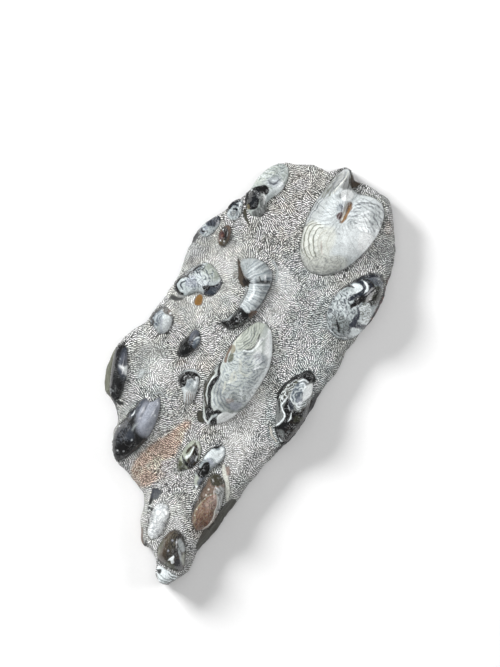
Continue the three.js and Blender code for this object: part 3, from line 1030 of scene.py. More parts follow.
# The greatest shell: cream, with growth arcs on the left and a horn-like lip at the top.
GREAT_SHOULDER: tuple[float, ...] = (33, 204, 46, 209, 62, 206, 67, 192, 60, 180, 34, 178)
GREAT = Dress("ammonite_great", Slot.PALE, PEARL, depth=1.05, ridges=(
    Ridge((10.5, 226), (12, 198), 4.5, 6.4), Ridge((28, 194), (28, 177), 3, -2.4),
), marks=(
    Patch(ASH, (-8, 180, -4, 140, 12, 118, 40, 116, 54, 134, 40, 142, 20, 134, 8, 150, 8, 176, 2, 204), 8, 0.55),
    # Painted highlight: the glare on the shell's lower right slope, in three pale patches.
    Patch(MILK, (32, 172, 50, 178, 63, 168, 60, 152, 48, 148, 38, 158), 8, 0.6),
    Patch(MILK, (48, 177, 51, 183, 59, 189, 66, 188, 67, 180, 63, 170, 58, 165, 55, 172), 7, 0.85),
    Patch(SNOW, (52, 176, 60, 180, 67, 173, 66, 163, 59, 159, 53, 166), 5),
    Patch(IVORY, (2, 160, 1, 148, 7, 134, 16, 126, 27, 129, 34, 140, 33, 156, 26, 166, 14, 163), 6, 0.7),
    Patch(ASH, (10, 122, 17, 130, 28, 133, 42, 139, 52, 141, 49, 131, 41, 120, 29, 116, 18, 115), 3, 0.5),
    Ripples(SLATE, (-8, 196, -6, 140, 10, 118, 14, 124, 0, 142, 1, 165, 4, 200), (70, 166), 2.3, 0.9, 6, 0.4, 2,
        seed=5, stretch=1.5, tilt=90),
    Patch(IVORY, (8, 129, 22, 134, 38, 142, 50, 146, 56, 140, 48, 129, 36, 120, 22, 118), 5, 0.6),
    Ripples(ASH, (8, 130, 24, 136, 52, 146, 54, 132, 40, 119, 18, 115), (30, 186), 4.6, 5.6, 6, 0.34, seed=9),
    Band(OLIVE, (8, 128, 16.6, 120.6, 27.3, 117.6, 36, 118, 48.3, 127.6, 56, 138), (0.4, 0.5, 0.4), 1, 0.6),
    Ripples(SLATE, GREAT_SHOULDER, (45, 173), 3.9, 2.4, 6, 0.26, 2),
    Ripples(MILK, GREAT_SHOULDER, (46.2, 174), 3.9, 2.4, 7, 0.3, 2, 0.4),
    Ripples(SLATE, (8, 196, 8, 168, 18, 160, 34, 164, 42, 180, 38, 200, 24, 204), (28, 185), 2.3, 1.6, 5, 0.28, 6,
        0.3, seed=10, fan_radius=11),
    Band(MOSS, (4, 162, 0.8, 156, 1, 147, 6, 135, 12, 128.5), (0.4, 0.5), 0.7, 0.85),
    Band(MOSS, (8.5, 161.5, 3.8, 157, 3.6, 147.5, 8.1, 137.2, 13.9, 130.7, 20.2, 127.3), (0.4, 0.6, 0.4), 0.7, 0.9),
    Band(MOSS, (13, 162, 8.3, 158.5, 7.9, 148.4, 12.1, 139.5, 18.2, 133.2, 23.6, 129.9), (0.4, 0.6, 0.4), 0.7, 0.9),
    Band(MOSS, (16, 161, 12.7, 158, 12.3, 149.5, 15.8, 141.7, 21.7, 135.2, 24.8, 132.7), (0.4, 0.6, 0.4), 0.7, 0.9),
    Band(SAND, (20, 160, 17.8, 156, 17.7, 149.8, 19.7, 143.9, 24.4, 138.2, 27.8, 135.9), (0.3, 0.4, 0.3), 0.7, 0.7),
    Band(ROSE, (21.5, 148, 24.4, 143, 29, 137.5), (0.6, 0.9, 0.6), 1.4, 0.5),
    Band(SAND, (26, 159, 26.1, 151.9, 28.9, 146.4, 34.3, 141.1), (0.35,), 1, 0.5),
    Band(COAL, (39, 203, 44, 205.4, 50, 207, 57, 207.6), (0.4, 0.7, 0.5, 0.4), 0.8, 0.6),
    Band(SLATE, (30, 195, 34.8, 198.4, 38.2, 200, 42, 204), (0.3, 0.5, 0.3), 0.8, 0.6),
    Patch(ASH, (-3.3, 200, -0.4, 213, 7, 220, 9.6, 213, 7, 198, 1, 190), 2.4, 0.8),
    Ripples(MOSS, (-4, 204, 3, 218, 9, 218, 8, 198, 4, 188, -4, 188), (40, 195), 2.6, 0.8, 6, 0.42, 2, 0.7, seed=14,
        stretch=1.5, tilt=80),
    Band(SLATE, (4, 212, 4.4, 204, 5.5, 196), (0.7, 1.3, 0.7), 1.4, 0.7),
    Patch(ASH, (11.6, 218, 17, 213, 18, 207, 12, 203.6, 10.6, 211), 1.2, 0.9),
    Patch(ASH, (12, 214, 22, 214, 26, 208, 18, 204, 11.6, 204), 3, 0.6),
    # Painted shade: the dark hollow under the lip's right side.
    Patch(OLIVE, (11.9, 223, 15.8, 217.4, 20.1, 216, 24, 214.6, 21, 211, 16.6, 212.6, 14, 215.6), 1.2, 0.9),
    Patch(ASH, (5, 219, 9, 223, 13.6, 214, 12.6, 203, 8, 194, 4, 200), 2, 0.55),
    Band(CREAM, (10.1, 222, 10.9, 218, 10.4, 211, 8.6, 203, 7.9, 195), (0.3, 0.5, 0.45, 0.3), 0.7, 0.9),
    Band(SLATE, (8.6, 220, 9.2, 214, 8.4, 207, 6.6, 200), (0.4, 0.6, 0.4), 0.7, 0.8),
    Patch(SNOW, (14.5, 201, 20.5, 207.4, 26.3, 204.5, 25, 197, 18.4, 194.6), 1.4),
    Patch(STEEL, (17, 187, 20, 191, 24, 188, 23, 184, 19, 182), 2, 0.5),
    Patch(EARTH, (25.3, 196, 29.4, 196, 31.6, 190, 31.3, 183, 31.2, 175.6, 28.4, 173.2, 25.8, 176.9, 26, 183,
        25.4, 190), 1, 0.95),
    Band(OCHRE, (28.4, 194, 30, 188, 30, 180, 29.6, 175), (0.8, 1.1, 0.8), 1.4, 0.75),
    Band(CREAM, (26, 192, 27.2, 184, 28, 176), (0.5, 0.9, 0.8), 1, 0.7),
    Patch(WINE, (21.5, 178, 22.6, 182, 24.6, 184, 26.6, 179, 25, 174.5), 1.2, 0.95),
    Band(SLATE, (19, 188.4, 22.2, 188, 23.2, 185), (0.9, 1.3, 0.8), 1, 0.8),
    Band(INK, (2.8, 218, 4, 221.6, 5.6, 224.2, 8.2, 225.6, 10.8, 224.8, 14, 221.4, 18, 217.4), (0.7, 1.3, 1.7, 1.8,
        1.6, 1, 0.6), 0.8),
))

# Black bands round a pale swirl, over a marbled foot.
RIGHT_EDGE_FOOT: tuple[float, ...] = (60, 118, 60, 80, 84, 74, 100, 84, 100, 112, 80, 116)
RIGHT_EDGE = Dress("ammonite_right_edge", Slot.MARBLED, FOG, worn=0.4, depth=1.5, marks=(
    Patch(PEARL, (62, 104, 66, 118, 74, 116, 84, 106, 83, 98, 75, 96, 64, 96), 4, 0.55),
    Ripples(SLATE, RIGHT_EDGE_FOOT, (92, 122), 5, 4.4, 5, 0.34, 3, 0.75, seed=3),
    Ripples(MILK, RIGHT_EDGE_FOOT, (96, 120), 4.6, 4.4, share=0.5, seed=31),
    Patch(FOG, (69, 88, 78, 94, 87, 92, 87, 85, 83, 78, 75, 80), 3, 0.8),
    Ripples(OLIVE, (68, 90, 78, 95, 88, 92, 88, 82, 76, 77), (90, 100), 3.4, 3, 4, 0.34, 2, seed=32),
    Patch(DUSK, (79.7, 140, 88, 147, 94, 148, 99, 142, 97, 137, 89, 138, 84, 138), 1.4, 0.85),
    Patch(OLIVE, (88.7, 130, 92, 138, 98, 137, 101, 127, 99, 120, 91, 118, 87, 116, 87, 122), 1.6, 0.9),
    Ripples(LICHEN, (84, 140, 92, 148, 99, 142, 101, 128, 98, 120, 92, 122, 90, 134), (80, 128), 2.8, 2, 3, 0.2, 1.5,
        0.35, seed=33),
    Ripples(COAL, (86, 118, 90, 136, 98, 136, 101, 124, 98, 118), (80, 120), 3.2, 2, 3, 0.35, 1.5, 0.7, seed=34),
    Patch(MILK, (87.8, 111, 92.5, 118.5, 98.3, 115, 102.9, 107, 102.5, 99, 95, 98, 90.5, 104), 1, 0.95),
    Ripples(MOSS, (88, 112, 93, 119, 103, 108, 102, 99, 93, 99), (82, 132), 3.2, 2.6, 3, 0.24, 1, seed=35),
    Patch(MILK, (69.8, 126, 74.1, 130.2, 78.5, 130.4, 80.2, 126.8, 78.6, 122.4, 75, 119.6, 70, 119.6), 1.2, 0.8),
    Band(FOG, (66, 121, 71, 122.6, 75, 121), (1.4, 2.2, 1.4), 1.6, 0.7),
    Band(COAL, (76.7, 136.2, 82, 137.4, 87.2, 134.6, 89, 130, 87.3, 124, 83.5, 119, 80.8, 114.5), (0.9, 2.2, 2.7, 2.8,
        2.8, 2.4, 1.6)),
    Band(SLATE, (78, 136.6, 82.5, 137, 86.6, 134.4, 88, 130, 86.6, 125.4, 84.6, 122), (0.5, 1.2, 1.5, 1.6, 1.4, 0.8),
        0.9, 0.9),
    Band(SLATE, (67.2, 126.5, 71.7, 131.2, 75.6, 133, 79.9, 132, 82.2, 129.4, 81.9, 125, 79.7, 120.5, 77.1, 116.1,
        74.6, 112), (1, 1.4, 1.7, 2, 1.9, 2, 2.2, 2.2, 1.7), 0.8),
    Band(MILK, (77.8, 135, 81, 134.2, 84, 132, 84.9, 128.4, 84.2, 126), (0.4, 0.9, 1, 1, 0.5), 0.6),
    Patch(INK, (79.5, 117.3, 82, 118, 84, 122, 86.8, 119.5, 85.7, 113.7, 82.4, 108.7, 79.8, 105.5, 77.7, 108,
        80.2, 112.6)),
    Band(INK, (61.8, 116.5, 64.2, 121.4, 67.2, 127.6, 70.7, 133, 74.6, 138.4, 80.4, 143.4, 86.3, 146.8, 91.8, 148.2,
        94.6, 145), (0.7, 1.4, 1.8, 2, 2.4, 2.3, 1.9, 1.4, 0.8)),
    Band(SLATE, (71.4, 133.6, 75, 138, 80.4, 142.8, 86.3, 146.2, 91, 147.6), (0.5, 1.1, 1.4, 1.2, 0.6), 1, 0.85),
    Band(INK, (66.6, 123.4, 70, 124.8, 73.5, 124.8), (0.9, 0.8, 0.4)),
    Band(DUSK, (86.7, 109.2, 90, 104, 89.7, 99.6, 90.2, 94.9, 88.6, 90.8), (0.8, 1.5, 2.3, 2.4, 1.8), 0.9),
    Band(DUSK, (89.1, 90.8, 95.3, 93.4, 101.4, 97.1), (1.6, 1.9, 1.7), 0.9),
    Band(MILK, (92.6, 98.4, 96, 99.8, 99, 101.4), (0.7, 1.3, 0.8), 0.9, 0.95),
    Band(COAL, (73.3, 88.1, 76.4, 85.4, 78.6, 82.9, 82, 79.4), (0.7, 1.1, 1.1, 0.8), 0.9, 0.9),
    Patch(MILK, (90.3, 89, 98, 91.6, 100.5, 87, 94.3, 82), 1.6, 0.9),
    Band(COAL, (63, 88.4, 67, 82.4, 73, 78, 83, 76.4, 91, 79), (0.35,), 0.7, 0.7),
    Band(MILK, (62.2, 87, 66.4, 80.6, 73, 76.4, 83.6, 75, 92, 78), (0.45,), 0.6, 0.8),
))

# Long and pale, with a black double border on its left.
CENTRE = Dress("ammonite_centre", Slot.PALE, MIST, worn=0.3, depth=1.15, marks=(
    Patch(LICHEN, (-6, 40, 12, 50, 17, 34, 15, 20, 4, 14, -5, 20), 5, 0.9),
    # Painted highlight: the glare along the shell's right slope.
    Patch(SNOW, (20, 48, 34, 36, 42, 8, 40, -28, 35, -20, 32, 8, 26, 28), 5),
    Patch(ASH, (0, -24, 8, -36, 20, -44, 34, -40, 36, -28, 20, -24), 6, 0.5),
    Patch(STEEL, (22, 21, 29, 23, 35, 20, 37, 14, 30, 12, 23, 14), 3.5, 0.6),
    Patch(PEARL, (28, 12, 38, 12, 38, -4, 34, -20, 26, -18, 28, -2), 4, 0.7),
    Ripples(SLATE, (-4, 42, 8, 50, 15, 40, 15, 22, 6, 14, -4, 20), (-7, 33), 2.4, 0.9, 6, 0.3, 2, 0.42, seed=3,
        stretch=1.3, tilt=90),
    Ripples(STEEL, (0, 10, 26, 20, 38, 8, 38, -34, 24, -40, 6, -28), (4, 26), 3.8, 4, 7, 0.4, 4),
    Ripples(PEARL, (2, 8, 24, 22, 40, 12, 40, -30, 24, -36, 8, -26), (2, 28), 5, 5.4, 7, 0.32, 4, 0.55, seed=6),
    Ripples(STEEL, (0, -16, 4, -36, 12, -46, 30, -42, 24, -36, 12, -32), (26, -16), 2.6, 0.8, 6, 0.32, 2, 0.7, seed=5,
        stretch=1.35, tilt=80),
    Ripples(MILK, (24, -20, 36, -16, 38, -30, 30, -34), (26, -16), 3.2, 2.6, 4, 0.4, 2, seed=36),
    Band(SLATE, (6.8, 41.7, 10.3, 35.6, 10.7, 28.7, 8.6, 23, 6.1, 18), (0.4, 0.5), 0.7, 0.8),
    Band(SLATE, (5.6, 37.5, 8, 33.4, 7.6, 27.8, 5.1, 22.8), (0.4,), 0.7, 0.7),
    Band(COAL, (15, 37.5, 16.4, 32.9, 16.4, 26.6, 14.8, 21.6, 11.5, 17.9, 8.6, 17.3), (0.8, 0.8, 0.5, 0.7, 0.6, 0.3),
        0.8, 0.85),
    Band(MILK, (18.1, 34.8, 18.6, 27.4, 16.8, 21.3, 13.5, 17.4, 9.1, 15.7), (0.4, 0.7, 0.6), 0.8, 0.8),
    Band(IVORY, (-0.8, 34, -1.6, 25.2, -2.4, 20.8, -1.4, 15.4), (0.7, 0.9, 0.6), 1, 0.85),
    Dots(SLATE, (19.6, 34.2, 22, 16.4, 25.6, 18, 12, 13.6), 1.5, 2.2, 0.7),
    # Painted highlight along the shell's right edge.
    Band(MILK, (24, 43, 29, 36, 33, 29.2, 37.6, 18, 38.8, 8, 37.6, -4, 36, -16), (1.2, 1.6, 1.7, 1.8, 1.7, 1.4, 0.9),
        1.6, 0.9),
    Band(IVORY, (8.9, 7, 12.9, 3.1, 14.6, -1.4, 18.3, -4.6, 24.1, -3.9, 26.1, 0.8), (0.7, 1.2, 1.2, 1.2, 1, 0.5), 1.8,
        0.6),
    Band(IVORY, (11.6, -21, 13, -16.5, 11, -10.7, 11.6, -6.3), (0.4, 1.6, 1.2, 0.4), 1.4, 0.75),
    Band(IVORY, (15, -17, 16.4, -12.6, 12.6, -7.6), (0.4, 1.3, 0.5), 1.3, 0.7),
    Band(IVORY, (8.3, -20, 11, -25.7, 12, -31), (0.9, 1.1, 0.5), 1, 0.8),
    Patch(ROSE, (17.5, -34, 23, -31, 26, -33.6, 20.4, -37.8), 2.5, 0.4),
    Patch(LILAC, (24, -36, 30, -31.6, 34.4, -32, 32.6, -39, 27, -41), 2.5, 0.8),
    Patch(EARTH, (-4.2, 16, -2.8, 13, -2.2, 5, -0.4, -2.6, -2.6, -3.4, -4.4, 4, -5, 11), 0.9, 0.95),
    Patch(SAND, (-3, 15, -0.4, 15, 2, 10, 0.4, 7, -2, 9), 1.2, 0.8),
    Patch(MOSS, (-0.8, 7, 2.6, 7, 4.4, 2, 1.4, -1.6, -0.4, 1), 1.4, 0.85),
    Patch(SNOW, (19.4, -59, 19.2, -52.8, 23, -46.6, 29, -44.4, 36, -40, 34, -48.6, 29.6, -55, 25, -60), 1.2, 0.9),
    Band(OLIVE, (-5.6, -18, -7.6, -24.5, -7, -31.2, -4.8, -37.8, -0.8, -44.6, 3.4, -49.6, 8.2, -55), (1.2, 2.3, 2.4,
        2.1, 1.8, 1.9, 2.3), 0.8),
    Band(PITCH, (-4.2, -3.4, -4.2, -9.5, -3, -13.4, -0.6, -17.4, -1.3, -23.4, -2, -30.1, -0.4, -36.2, 2.4, -41.6,
        5, -46.4, 8.2, -50, 13.7, -53), (0.6, 1, 1.2, 1.7, 2.3, 2.1, 1.8, 1.6, 1.7, 2, 2)),
    Patch(PITCH, (5.3, -51.9, 8.6, -50, 14, -52, 13.2, -57.4, 14, -62, 10.7, -62, 6.6, -57)),
    Patch(PITCH, (13.4, -51.2, 16.5, -47.8, 21.2, -47.4, 19.4, -52.3, 18, -55, 22.1, -61, 17.7, -65.2, 14.4, -62,
        15.4, -56), 0.8),
    Band(MILK, (-1.6, -18.6, -4.4, -25.2, -4.6, -32, -2.6, -38.5, 0.8, -44.4, 4.4, -48.6), (0.3, 0.35, 0.3), 0.6,
        0.85),
    Band(PEARL, (5.4, -41.5, 9.8, -45, 15.8, -46.4, 20, -45.6), (0.4, 0.7, 0.5), 0.8, 0.9),
    Band(PEARL, (17.4, -53, 14.8, -57.2, 14.2, -61.4, 16.8, -64.4), (1, 0.9, 0.5), 0.6),
    Band(MILK, (7.8, -61.2, 11.1, -64, 16.5, -65.6), (0.5, 0.9, 0.6)),
    Band(PEARL, (-8.6, -26, -8, -34.4, -2.4, -44.4, 3.4, -51), (0.35,), 0.6, 0.7),
))

# A curved body chamber like a thick horn, crossed by dark and pale bands.
HORN_SPINE: tuple[tuple[float, float, float], ...] = (
    (-37.5, 90.5, 3), (-30, 91, 9.5), (-21, 90, 13), (-12, 86, 13), (-8.5, 76, 10.3), (-7.5, 65, 9.2), (-7.7, 54, 8.8),
    (-9.5, 44.5, 8), (-13.5, 36, 7), (-19, 30.5, 5), (-25, 29.5, 1.8),
)
HORN = Dress("ammonite_horn", Slot.MARBLED, FOG, depth=1.25, spine=HORN_SPINE, marks=(
    Patch(PEARL, (-30, 99, -20, 96, -14, 88, -20, 80, -26, 86), 6, 0.8),
    Patch(FOG, (-20, 104, -8, 104, -4, 98, -14, 98, -21, 97), 2.5, 0.75),
    Patch(STEEL, (-8, 100, -1, 90, 0, 76, -4, 80, -8, 92), 4, 0.5),
    Patch(PEARL, (-19, 76, -12, 79, -5, 70, -6, 52, -16, 52, -18, 64), 4, 0.7),
    Ripples(STEEL, (-26, 100, -4, 108, 6, 84, 4, 50, -20, 50, -20, 72, -26, 80), (-38, 62), 2.5, 0.5, 9, 0.4, 3, 0.55,
        seed=3, fan_radius=29),
    Ripples(MILK, (-24, 100, -4, 104, 4, 84, 2, 52, -18, 52, -20, 74, -26, 82), (-38, 62), 5.2, 0.8, 9, share=0.4,
        seed=8, fan_radius=29),
    Band(COAL, (-20, 77, -15, 80.5, -9, 84, -2, 88), (0.9, 1.3, 2, 1.5), 1.3, 0.85),
    # Painted highlight: a pale streak down the middle of the horn.
    Band(MILK, (-15, 78, -12, 71, -11.4, 62), (0.8, 1.4, 0.8), 2, 0.8),
    # The broken end on the left: brown stone, darkened as painted shade, darkest at its foot.
    Patch(EARTH, (-41, 91, -35.3, 86.4, -28.2, 81.4, -21.7, 79, -20, 75, -27.5, 75, -35, 80), 1.2, 0.95),
    Patch(INK, (-26, 80, -21, 79, -19.5, 75, -25, 75), 2.5, 0.9),
    # The dark line along the right rim: the rim's own dark edge and painted shade.
    Band(COAL, (-6, 102, -2, 95, 0, 86, 1.2, 74, 0.8, 62, -2, 54), (0.7,), 1, 0.85),
    Patch(PITCH, (-18, 51, -10, 50.5, -5, 51, -1, 57, 3, 52, 0, 42, -4, 34, -10, 27, -20, 22, -30, 28, -20, 34,
        -18, 42), 1, 0.97),
    Patch(INK, (-14, 47, -6, 49, -3, 42, -8, 32, -16, 25, -24, 28, -16, 38), 2.5, 0.8),
    Patch(EARTH, (-5, 54, -0.5, 55.5, 2.5, 51, 0, 46.5, -4, 48), 1.8, 0.8),
    Band(RUST, (0.5, 55, 1.5, 50), (0.8,), 1.2, 0.8),
    Dots(FOG, (-12, 38, -8, 39, -13.5, 30, -2.6, 43.5, -10, 33, -12, 46), 0.8, 1.1, 0.8),
))

# A black crescent with white swirls.
LOWER_RIGHT_RIM: tuple[float, ...] = (61.6, 4, 66, 14, 71, 18, 74, 10, 71, 0, 69, -8, 66, -13, 62, -6)
LOWER_RIGHT = Dress("ammonite_lower_right", Slot.MARBLED, ASH, worn=0.25, depth=1.4, ridges=(
    Ridge((70, 8), (73, -12), 3, -1.6),
), marks=(
    Patch(MOSS, LOWER_RIGHT_RIM, 1.4, 0.8),
    Ripples(MILK, LOWER_RIGHT_RIM, (80, 0), 2.6, 2.2, 3, 0.36, 1, 0.75, seed=4),
    Ripples(COAL, LOWER_RIGHT_RIM, (81, 0), 2.6, 2.2, 3, 0.3, 1, 0.75, seed=4),
    Patch(STEEL, (72, 16, 78, 19, 83, 12, 82, 2, 79, -3, 73, -1, 71, 6), 1.8, 0.85),
    Ripples(PEARL, (72, 14, 82, 14, 84, 0, 78, -5, 72, 0), (80, 4), 4, 2.2, 4, 0.4, 1.5, 0.8, seed=37, stretch=1.3,
        tilt=90),
    Patch(SNOW, (81.1, 9.9, 81, 17.1, 84, 20.9, 88, 19, 89, 10.7, 87.4, 4, 85, 2, 82.6, 6), 1.8, 0.95),
    Patch(LILAC, (80, 4, 84, 4, 86, -2, 82, -4, 79, -1), 2, 0.6),
    Band(MILK, (74.2, 14.6, 76, 16.8, 78.8, 16.6, 81.4, 13, 82.4, 9), (0.5, 0.8, 0.8, 0.6), 0.9, 0.85),
    Band(MILK, (76, 10, 78.4, 12, 80.6, 10.6), (0.5, 0.8, 0.7), 0.7, 0.9),
    Band(MILK, (71.5, 3.8, 72.6, -0.6, 75.4, -4, 79, -5, 82, -4), (0.4, 0.6, 0.4), 0.9, 0.8),
    Ripples(MILK, (79, -4, 84, -8.5, 88.5, -8, 90, -2, 88, 4, 84, 0), (80, 4), 2.4, 1.6, 3, 0.45, 1.2, 0.85, seed=38),
    Patch(COAL, (71, -3, 74, -6.4, 78, -8, 81, -9.6, 86, -10.4, 89.6, -8, 90.4, -2, 93, 5, 96, 12, 101, 6, 100, -24,
        96, -36, 88, -47, 82, -43, 76, -38, 74, -34, 78, -28, 77, -21, 72, -14)),
    Ripples(UMBER, (90, 2, 97, 8, 99, -12, 96, -34, 88, -42, 84, -22, 86, -12), (70, -10), 5, 3.4, 6, 0.45, 2,
        seed=39),
    Patch(MOSS, (86, -15, 95, -12, 93, -16.4, 88, -20.7), 1.8, 0.7),
    Patch(SLATE, (72.3, -3.3, 77.6, -5.4, 81.2, -9.5, 79, -12.6, 75.6, -10), 1.2, 0.8),
    Patch(ASH, (78.3, -35.4, 83.2, -33, 87.2, -37.6, 85.4, -40.9, 81, -39), 1.6, 0.8),
    Dots(FOG, (82, -36, 88, -31, 85, -38), 0.6, 1, 0.7),
    Band(MILK, (70.3, -1.2, 70.1, -4.8, 68.7, -9.5, 69.6, -13.4, 72.8, -16.2, 76.1, -18.8, 76.9, -23.4, 75.8, -29,
        74, -33.3), (0.4, 0.6, 0.6, 0.7, 0.7, 0.8, 0.9, 0.8, 0.6)),
    Band(MILK, (80.7, -13.9, 82.4, -18, 82.4, -23.3), (0.4, 0.8, 0.5)),
    Band(MILK, (74.2, -9.4, 77.3, -12), (0.4,), 0.7, 0.8),
    Band(MILK, (73.6, -34.4, 76.7, -38.8, 81.5, -42.4, 87.6, -44), (0.6, 0.7, 0.9), 0.8),
    Band(COAL, (73.4, 25, 68.6, 19.4, 65, 13, 62.4, 5.8, 61.4, -1.8, 62.6, -8.1, 66.6, -13.4, 70.5, -19.4), (1.4, 1.5,
        1.2, 1, 0.9, 0.8, 0.8, 0.4), 0.8),
    Patch(COAL, (70, 25, 72.4, 28, 76.6, 31, 82.1, 29, 85.6, 24.4, 82, 20.8, 76.7, 21.6, 73, 21, 69, 18)),
    Band(MILK, (72, 16.8, 74.8, 20.2, 80, 21), (0.5, 0.9, 0.6), 0.8, 0.9),
))

# Blue-black, paler on its outer side.
LEFT_SHOULDER = Dress("ammonite_left_shoulder", Slot.DARK, COAL, marks=(
    Patch(SLATE, (-96, -42, -91, -41, -84, -52, -79, -64, -79, -70, -86, -66, -92, -58), 5),
    Patch(DUSK, (-93, -46, -87, -46, -82, -56, -81, -64, -90, -62), 5, 0.9),
    Patch(INK, (-102, -44, -98, -38, -96, -42, -99, -50), 2, 0.9),
    Band(INK, (-100, -52, -96, -64, -90, -76), (0.9,), 2, 0.8),
    # Painted highlight: a soft white star on the dome.
    Patch(SNOW, (-91, -59.4, -85, -56.6, -82.5, -52, -80, -58, -79, -64, -84, -62), 3.8, 0.95),
    Band(ASH, (-83, -80, -80.5, -84, -78.5, -89), (0.5, 0.8, 0.6), 1, 0.8),
    Dots(FOG, (-86.5, -84, -84, -84.5, -93, -52.5, -85.5, -87), 0.9, 1.4, 0.6),
    Patch(INK, (-82, -74, -77, -76, -75, -88, -79, -90, -82, -84), 3, 0.8),
))

# Two dark lobes with a pale glint between them.
LEFT_HIP = Dress("ammonite_left_hip", Slot.DARK, COAL, ridges=(
    Ridge((-43, -74), (-44.5, -92), 3.5, -2),
), marks=(
    Patch(DUSK, (-44, -64, -36, -66, -32, -80, -29, -96, -31, -107, -39, -108, -47, -98, -53, -88, -54, -75, -47, -72,
        -42, -74), 5, 0.95),
    Patch(LILAC, (-52, -82, -46, -71, -38, -68, -33, -80, -30, -98, -33, -107, -42, -106, -49, -97), 7, 0.9),
    Patch(SLATE, (-57, -78, -53, -74, -51, -84, -54, -98, -58, -96), 2.5, 0.85),
    Band(INK, (-56, -80, -57, -90, -60, -96), (0.9, 1.4, 1.2), 1.4, 0.8),
    Ripples(DUSK, (-60, -104, -50, -106, -46, -116, -52, -126, -60, -122), (-40, -90), 3.2, 3.2, 4, 0.36, 3, 0.5,
        seed=21),
    Patch(SLATE, (-50, -108, -44, -110, -42, -118, -50, -120), 4, 0.7),
    Patch(INK, (-52, -126, -44, -118, -36, -122, -36, -130, -45, -144, -54, -136), 5, 0.75),
    Band(MILK, (-55, -90, -54.4, -93, -54.7, -95.6), (0.4, 0.6, 0.5), 0.8, 0.8),
    Band(FOG, (-46.6, -100, -47.4, -104, -47, -108), (1, 1.3, 0.7), 2.4, 0.7),
    Dots(MILK, (-35, -84.5, -50, -133, -44.5, -130.5, -43, -116.5, -61, -111), 0.9, 1.3, 0.7),
))

# Pale blue on the right, black on the left.
TOP_LEFT = Dress("ammonite_top_left", Slot.MARBLED, MIST, worn=0.5, depth=1.4, ridges=(
    Ridge((-53, 166), (-44, 156), 4, -2),
), marks=(
    Patch(LICHEN, (-68, 166, -64, 184, -54, 194, -50, 188, -56, 176, -60, 168), 4, 0.45),
    Ripples(STEEL, (-66, 172, -62, 186, -50, 196, -46, 188, -56, 172), (-46, 160), 2.6, 2.2, 5, 0.34, seed=15),
    Ripples(MILK, (-66, 172, -62, 186, -46, 196, -40, 186, -46, 172, -56, 170), (-44, 158), 3, 2.6, share=0.45,
        seed=44),
    Patch(MILK, (-49, 178, -43, 180, -37, 177, -36, 170, -41, 165, -46, 168), 3, 0.8),
    Patch(LILAC, (-54, 178, -46, 184, -43, 179, -46, 171, -54, 171), 3.2, 0.4),
    Band(SLATE, (-54, 174.6, -50.6, 173.4, -47, 174.8, -45.6, 180, -44.4, 183), (0.5, 0.8, 0.9, 0.7, 0.4), 1.4, 0.75),
    Dots(MILK, (-50, 177, -52.5, 171), 0.8, 0.9, 0.9),
    Patch(PEARL, (-49, 168, -43, 168, -42, 156, -45, 154, -49, 160), 1.6, 0.8),
    Patch(ASH, (-54.4, 158.3, -50.1, 159.4, -44.5, 153, -41, 145.9, -43, 140.6, -48.9, 137, -53, 139.6, -49.1, 146.1,
        -51.8, 152.6), 1.2, 0.95),
    Ripples(COAL, (-52, 158, -43, 152, -43, 141, -50, 138), (-30, 160), 3.4, 1.2, 4, 0.25, 2, 0.4, seed=45),
    Patch(PITCH, (-66.5, 156.1, -63.6, 148.2, -61.4, 142.5, -57.4, 140.6, -53, 141.9, -50.2, 146.2, -53, 154.6,
        -54, 160, -48.6, 161.4, -48.8, 167, -53.8, 169, -60, 165)),
    Patch(SLATE, (-61, 160, -55, 161, -52.6, 149, -54, 143, -60, 146), 3, 0.3),
    Patch(SAND, (-61.4, 144, -58.6, 144.6, -56.6, 140.4, -60.4, 139.6), 1.6, 0.8),
    Dots(MILK, (-65, 155, -64, 158.6), 0.8, 1, 0.7),
))

# Nearly flush and pale, with a dark wing.
WINGED = Dress("ammonite_winged", Slot.MARBLED, PEARL, worn=1.6, depth=1.6, marks=(
    Patch(LICHEN, (-64, 78, -52, 74, -48, 66, -56, 58, -66, 62), 4, 0.7),
    Patch(LILAC, (-76, 52, -70, 56, -64, 50, -67, 44, -74, 44), 2, 0.8),
    Patch(MILK, (-68, 62, -58, 64, -56, 54, -60, 49, -68, 54), 3, 0.6),
    Patch(ASH, (-82, 58, -71, 68, -66, 64, -72, 56, -77, 50, -81, 46), 1.6, 0.7),
    Ripples(COAL, (-82, 58, -71, 68, -66, 64, -72, 56, -78, 46), (-60, 46), 3.4, 2.6, 3, 0.35, 1.2, 0.7, seed=18),
    Ripples(STEEL, (-72, 66, -58, 70, -52, 60, -58, 50, -68, 42, -76, 48), (-78, 42), 3.8, 3.4, 5, 0.34, 2, 0.75,
        seed=17),
    Ripples(MILK, (-78, 60, -58, 70, -52, 60, -58, 48, -70, 40, -80, 46), (-70, 36), 3.6, 3, 4, 0.28, 2, 0.5,
        seed=40),
    Band(PEARL, (-79, 47, -80, 42, -77, 37.5), (1, 1.3, 0.8), 1, 0.9),
    Band(SLATE, (-76, 47.4, -78.4, 41.6, -74, 38), (0.5, 0.8, 0.6), 0.8, 0.85),
    Band(FOG, (-74, 44, -70, 39, -64, 38), (0.8,), 1.4, 0.6),
    Band(COAL, (-66.4, 66, -66.5, 69.4, -70, 68.4, -73.4, 62, -76, 56, -78, 51.6, -81.4, 48.4, -83.2, 41.6, -81.6, 37,
        -76, 33.6, -72, 34.4), (0.4, 0.5, 0.6, 0.8, 0.8, 0.8, 1.2, 1.6, 1.6, 1.5, 1.1), 0.8),
    Patch(DUSK, (-46, 67, -42, 67, -39.6, 60, -42, 52, -47, 44, -51, 42, -54, 46, -54.5, 50, -52, 54, -50, 56,
        -46.4, 62), 0.9, 0.95),
    Patch(STEEL, (-51, 51, -46, 55, -44, 51, -48, 45, -51, 46), 2, 0.7),
    Patch(INK, (-58, 51, -54, 54.6, -51, 53, -52.4, 48.6, -56, 48.4), 1, 0.95),
    Band(INK, (-43.4, 64, -48, 57, -52, 54.4), (0.4, 0.7, 0.6), 0.8, 0.7),
))

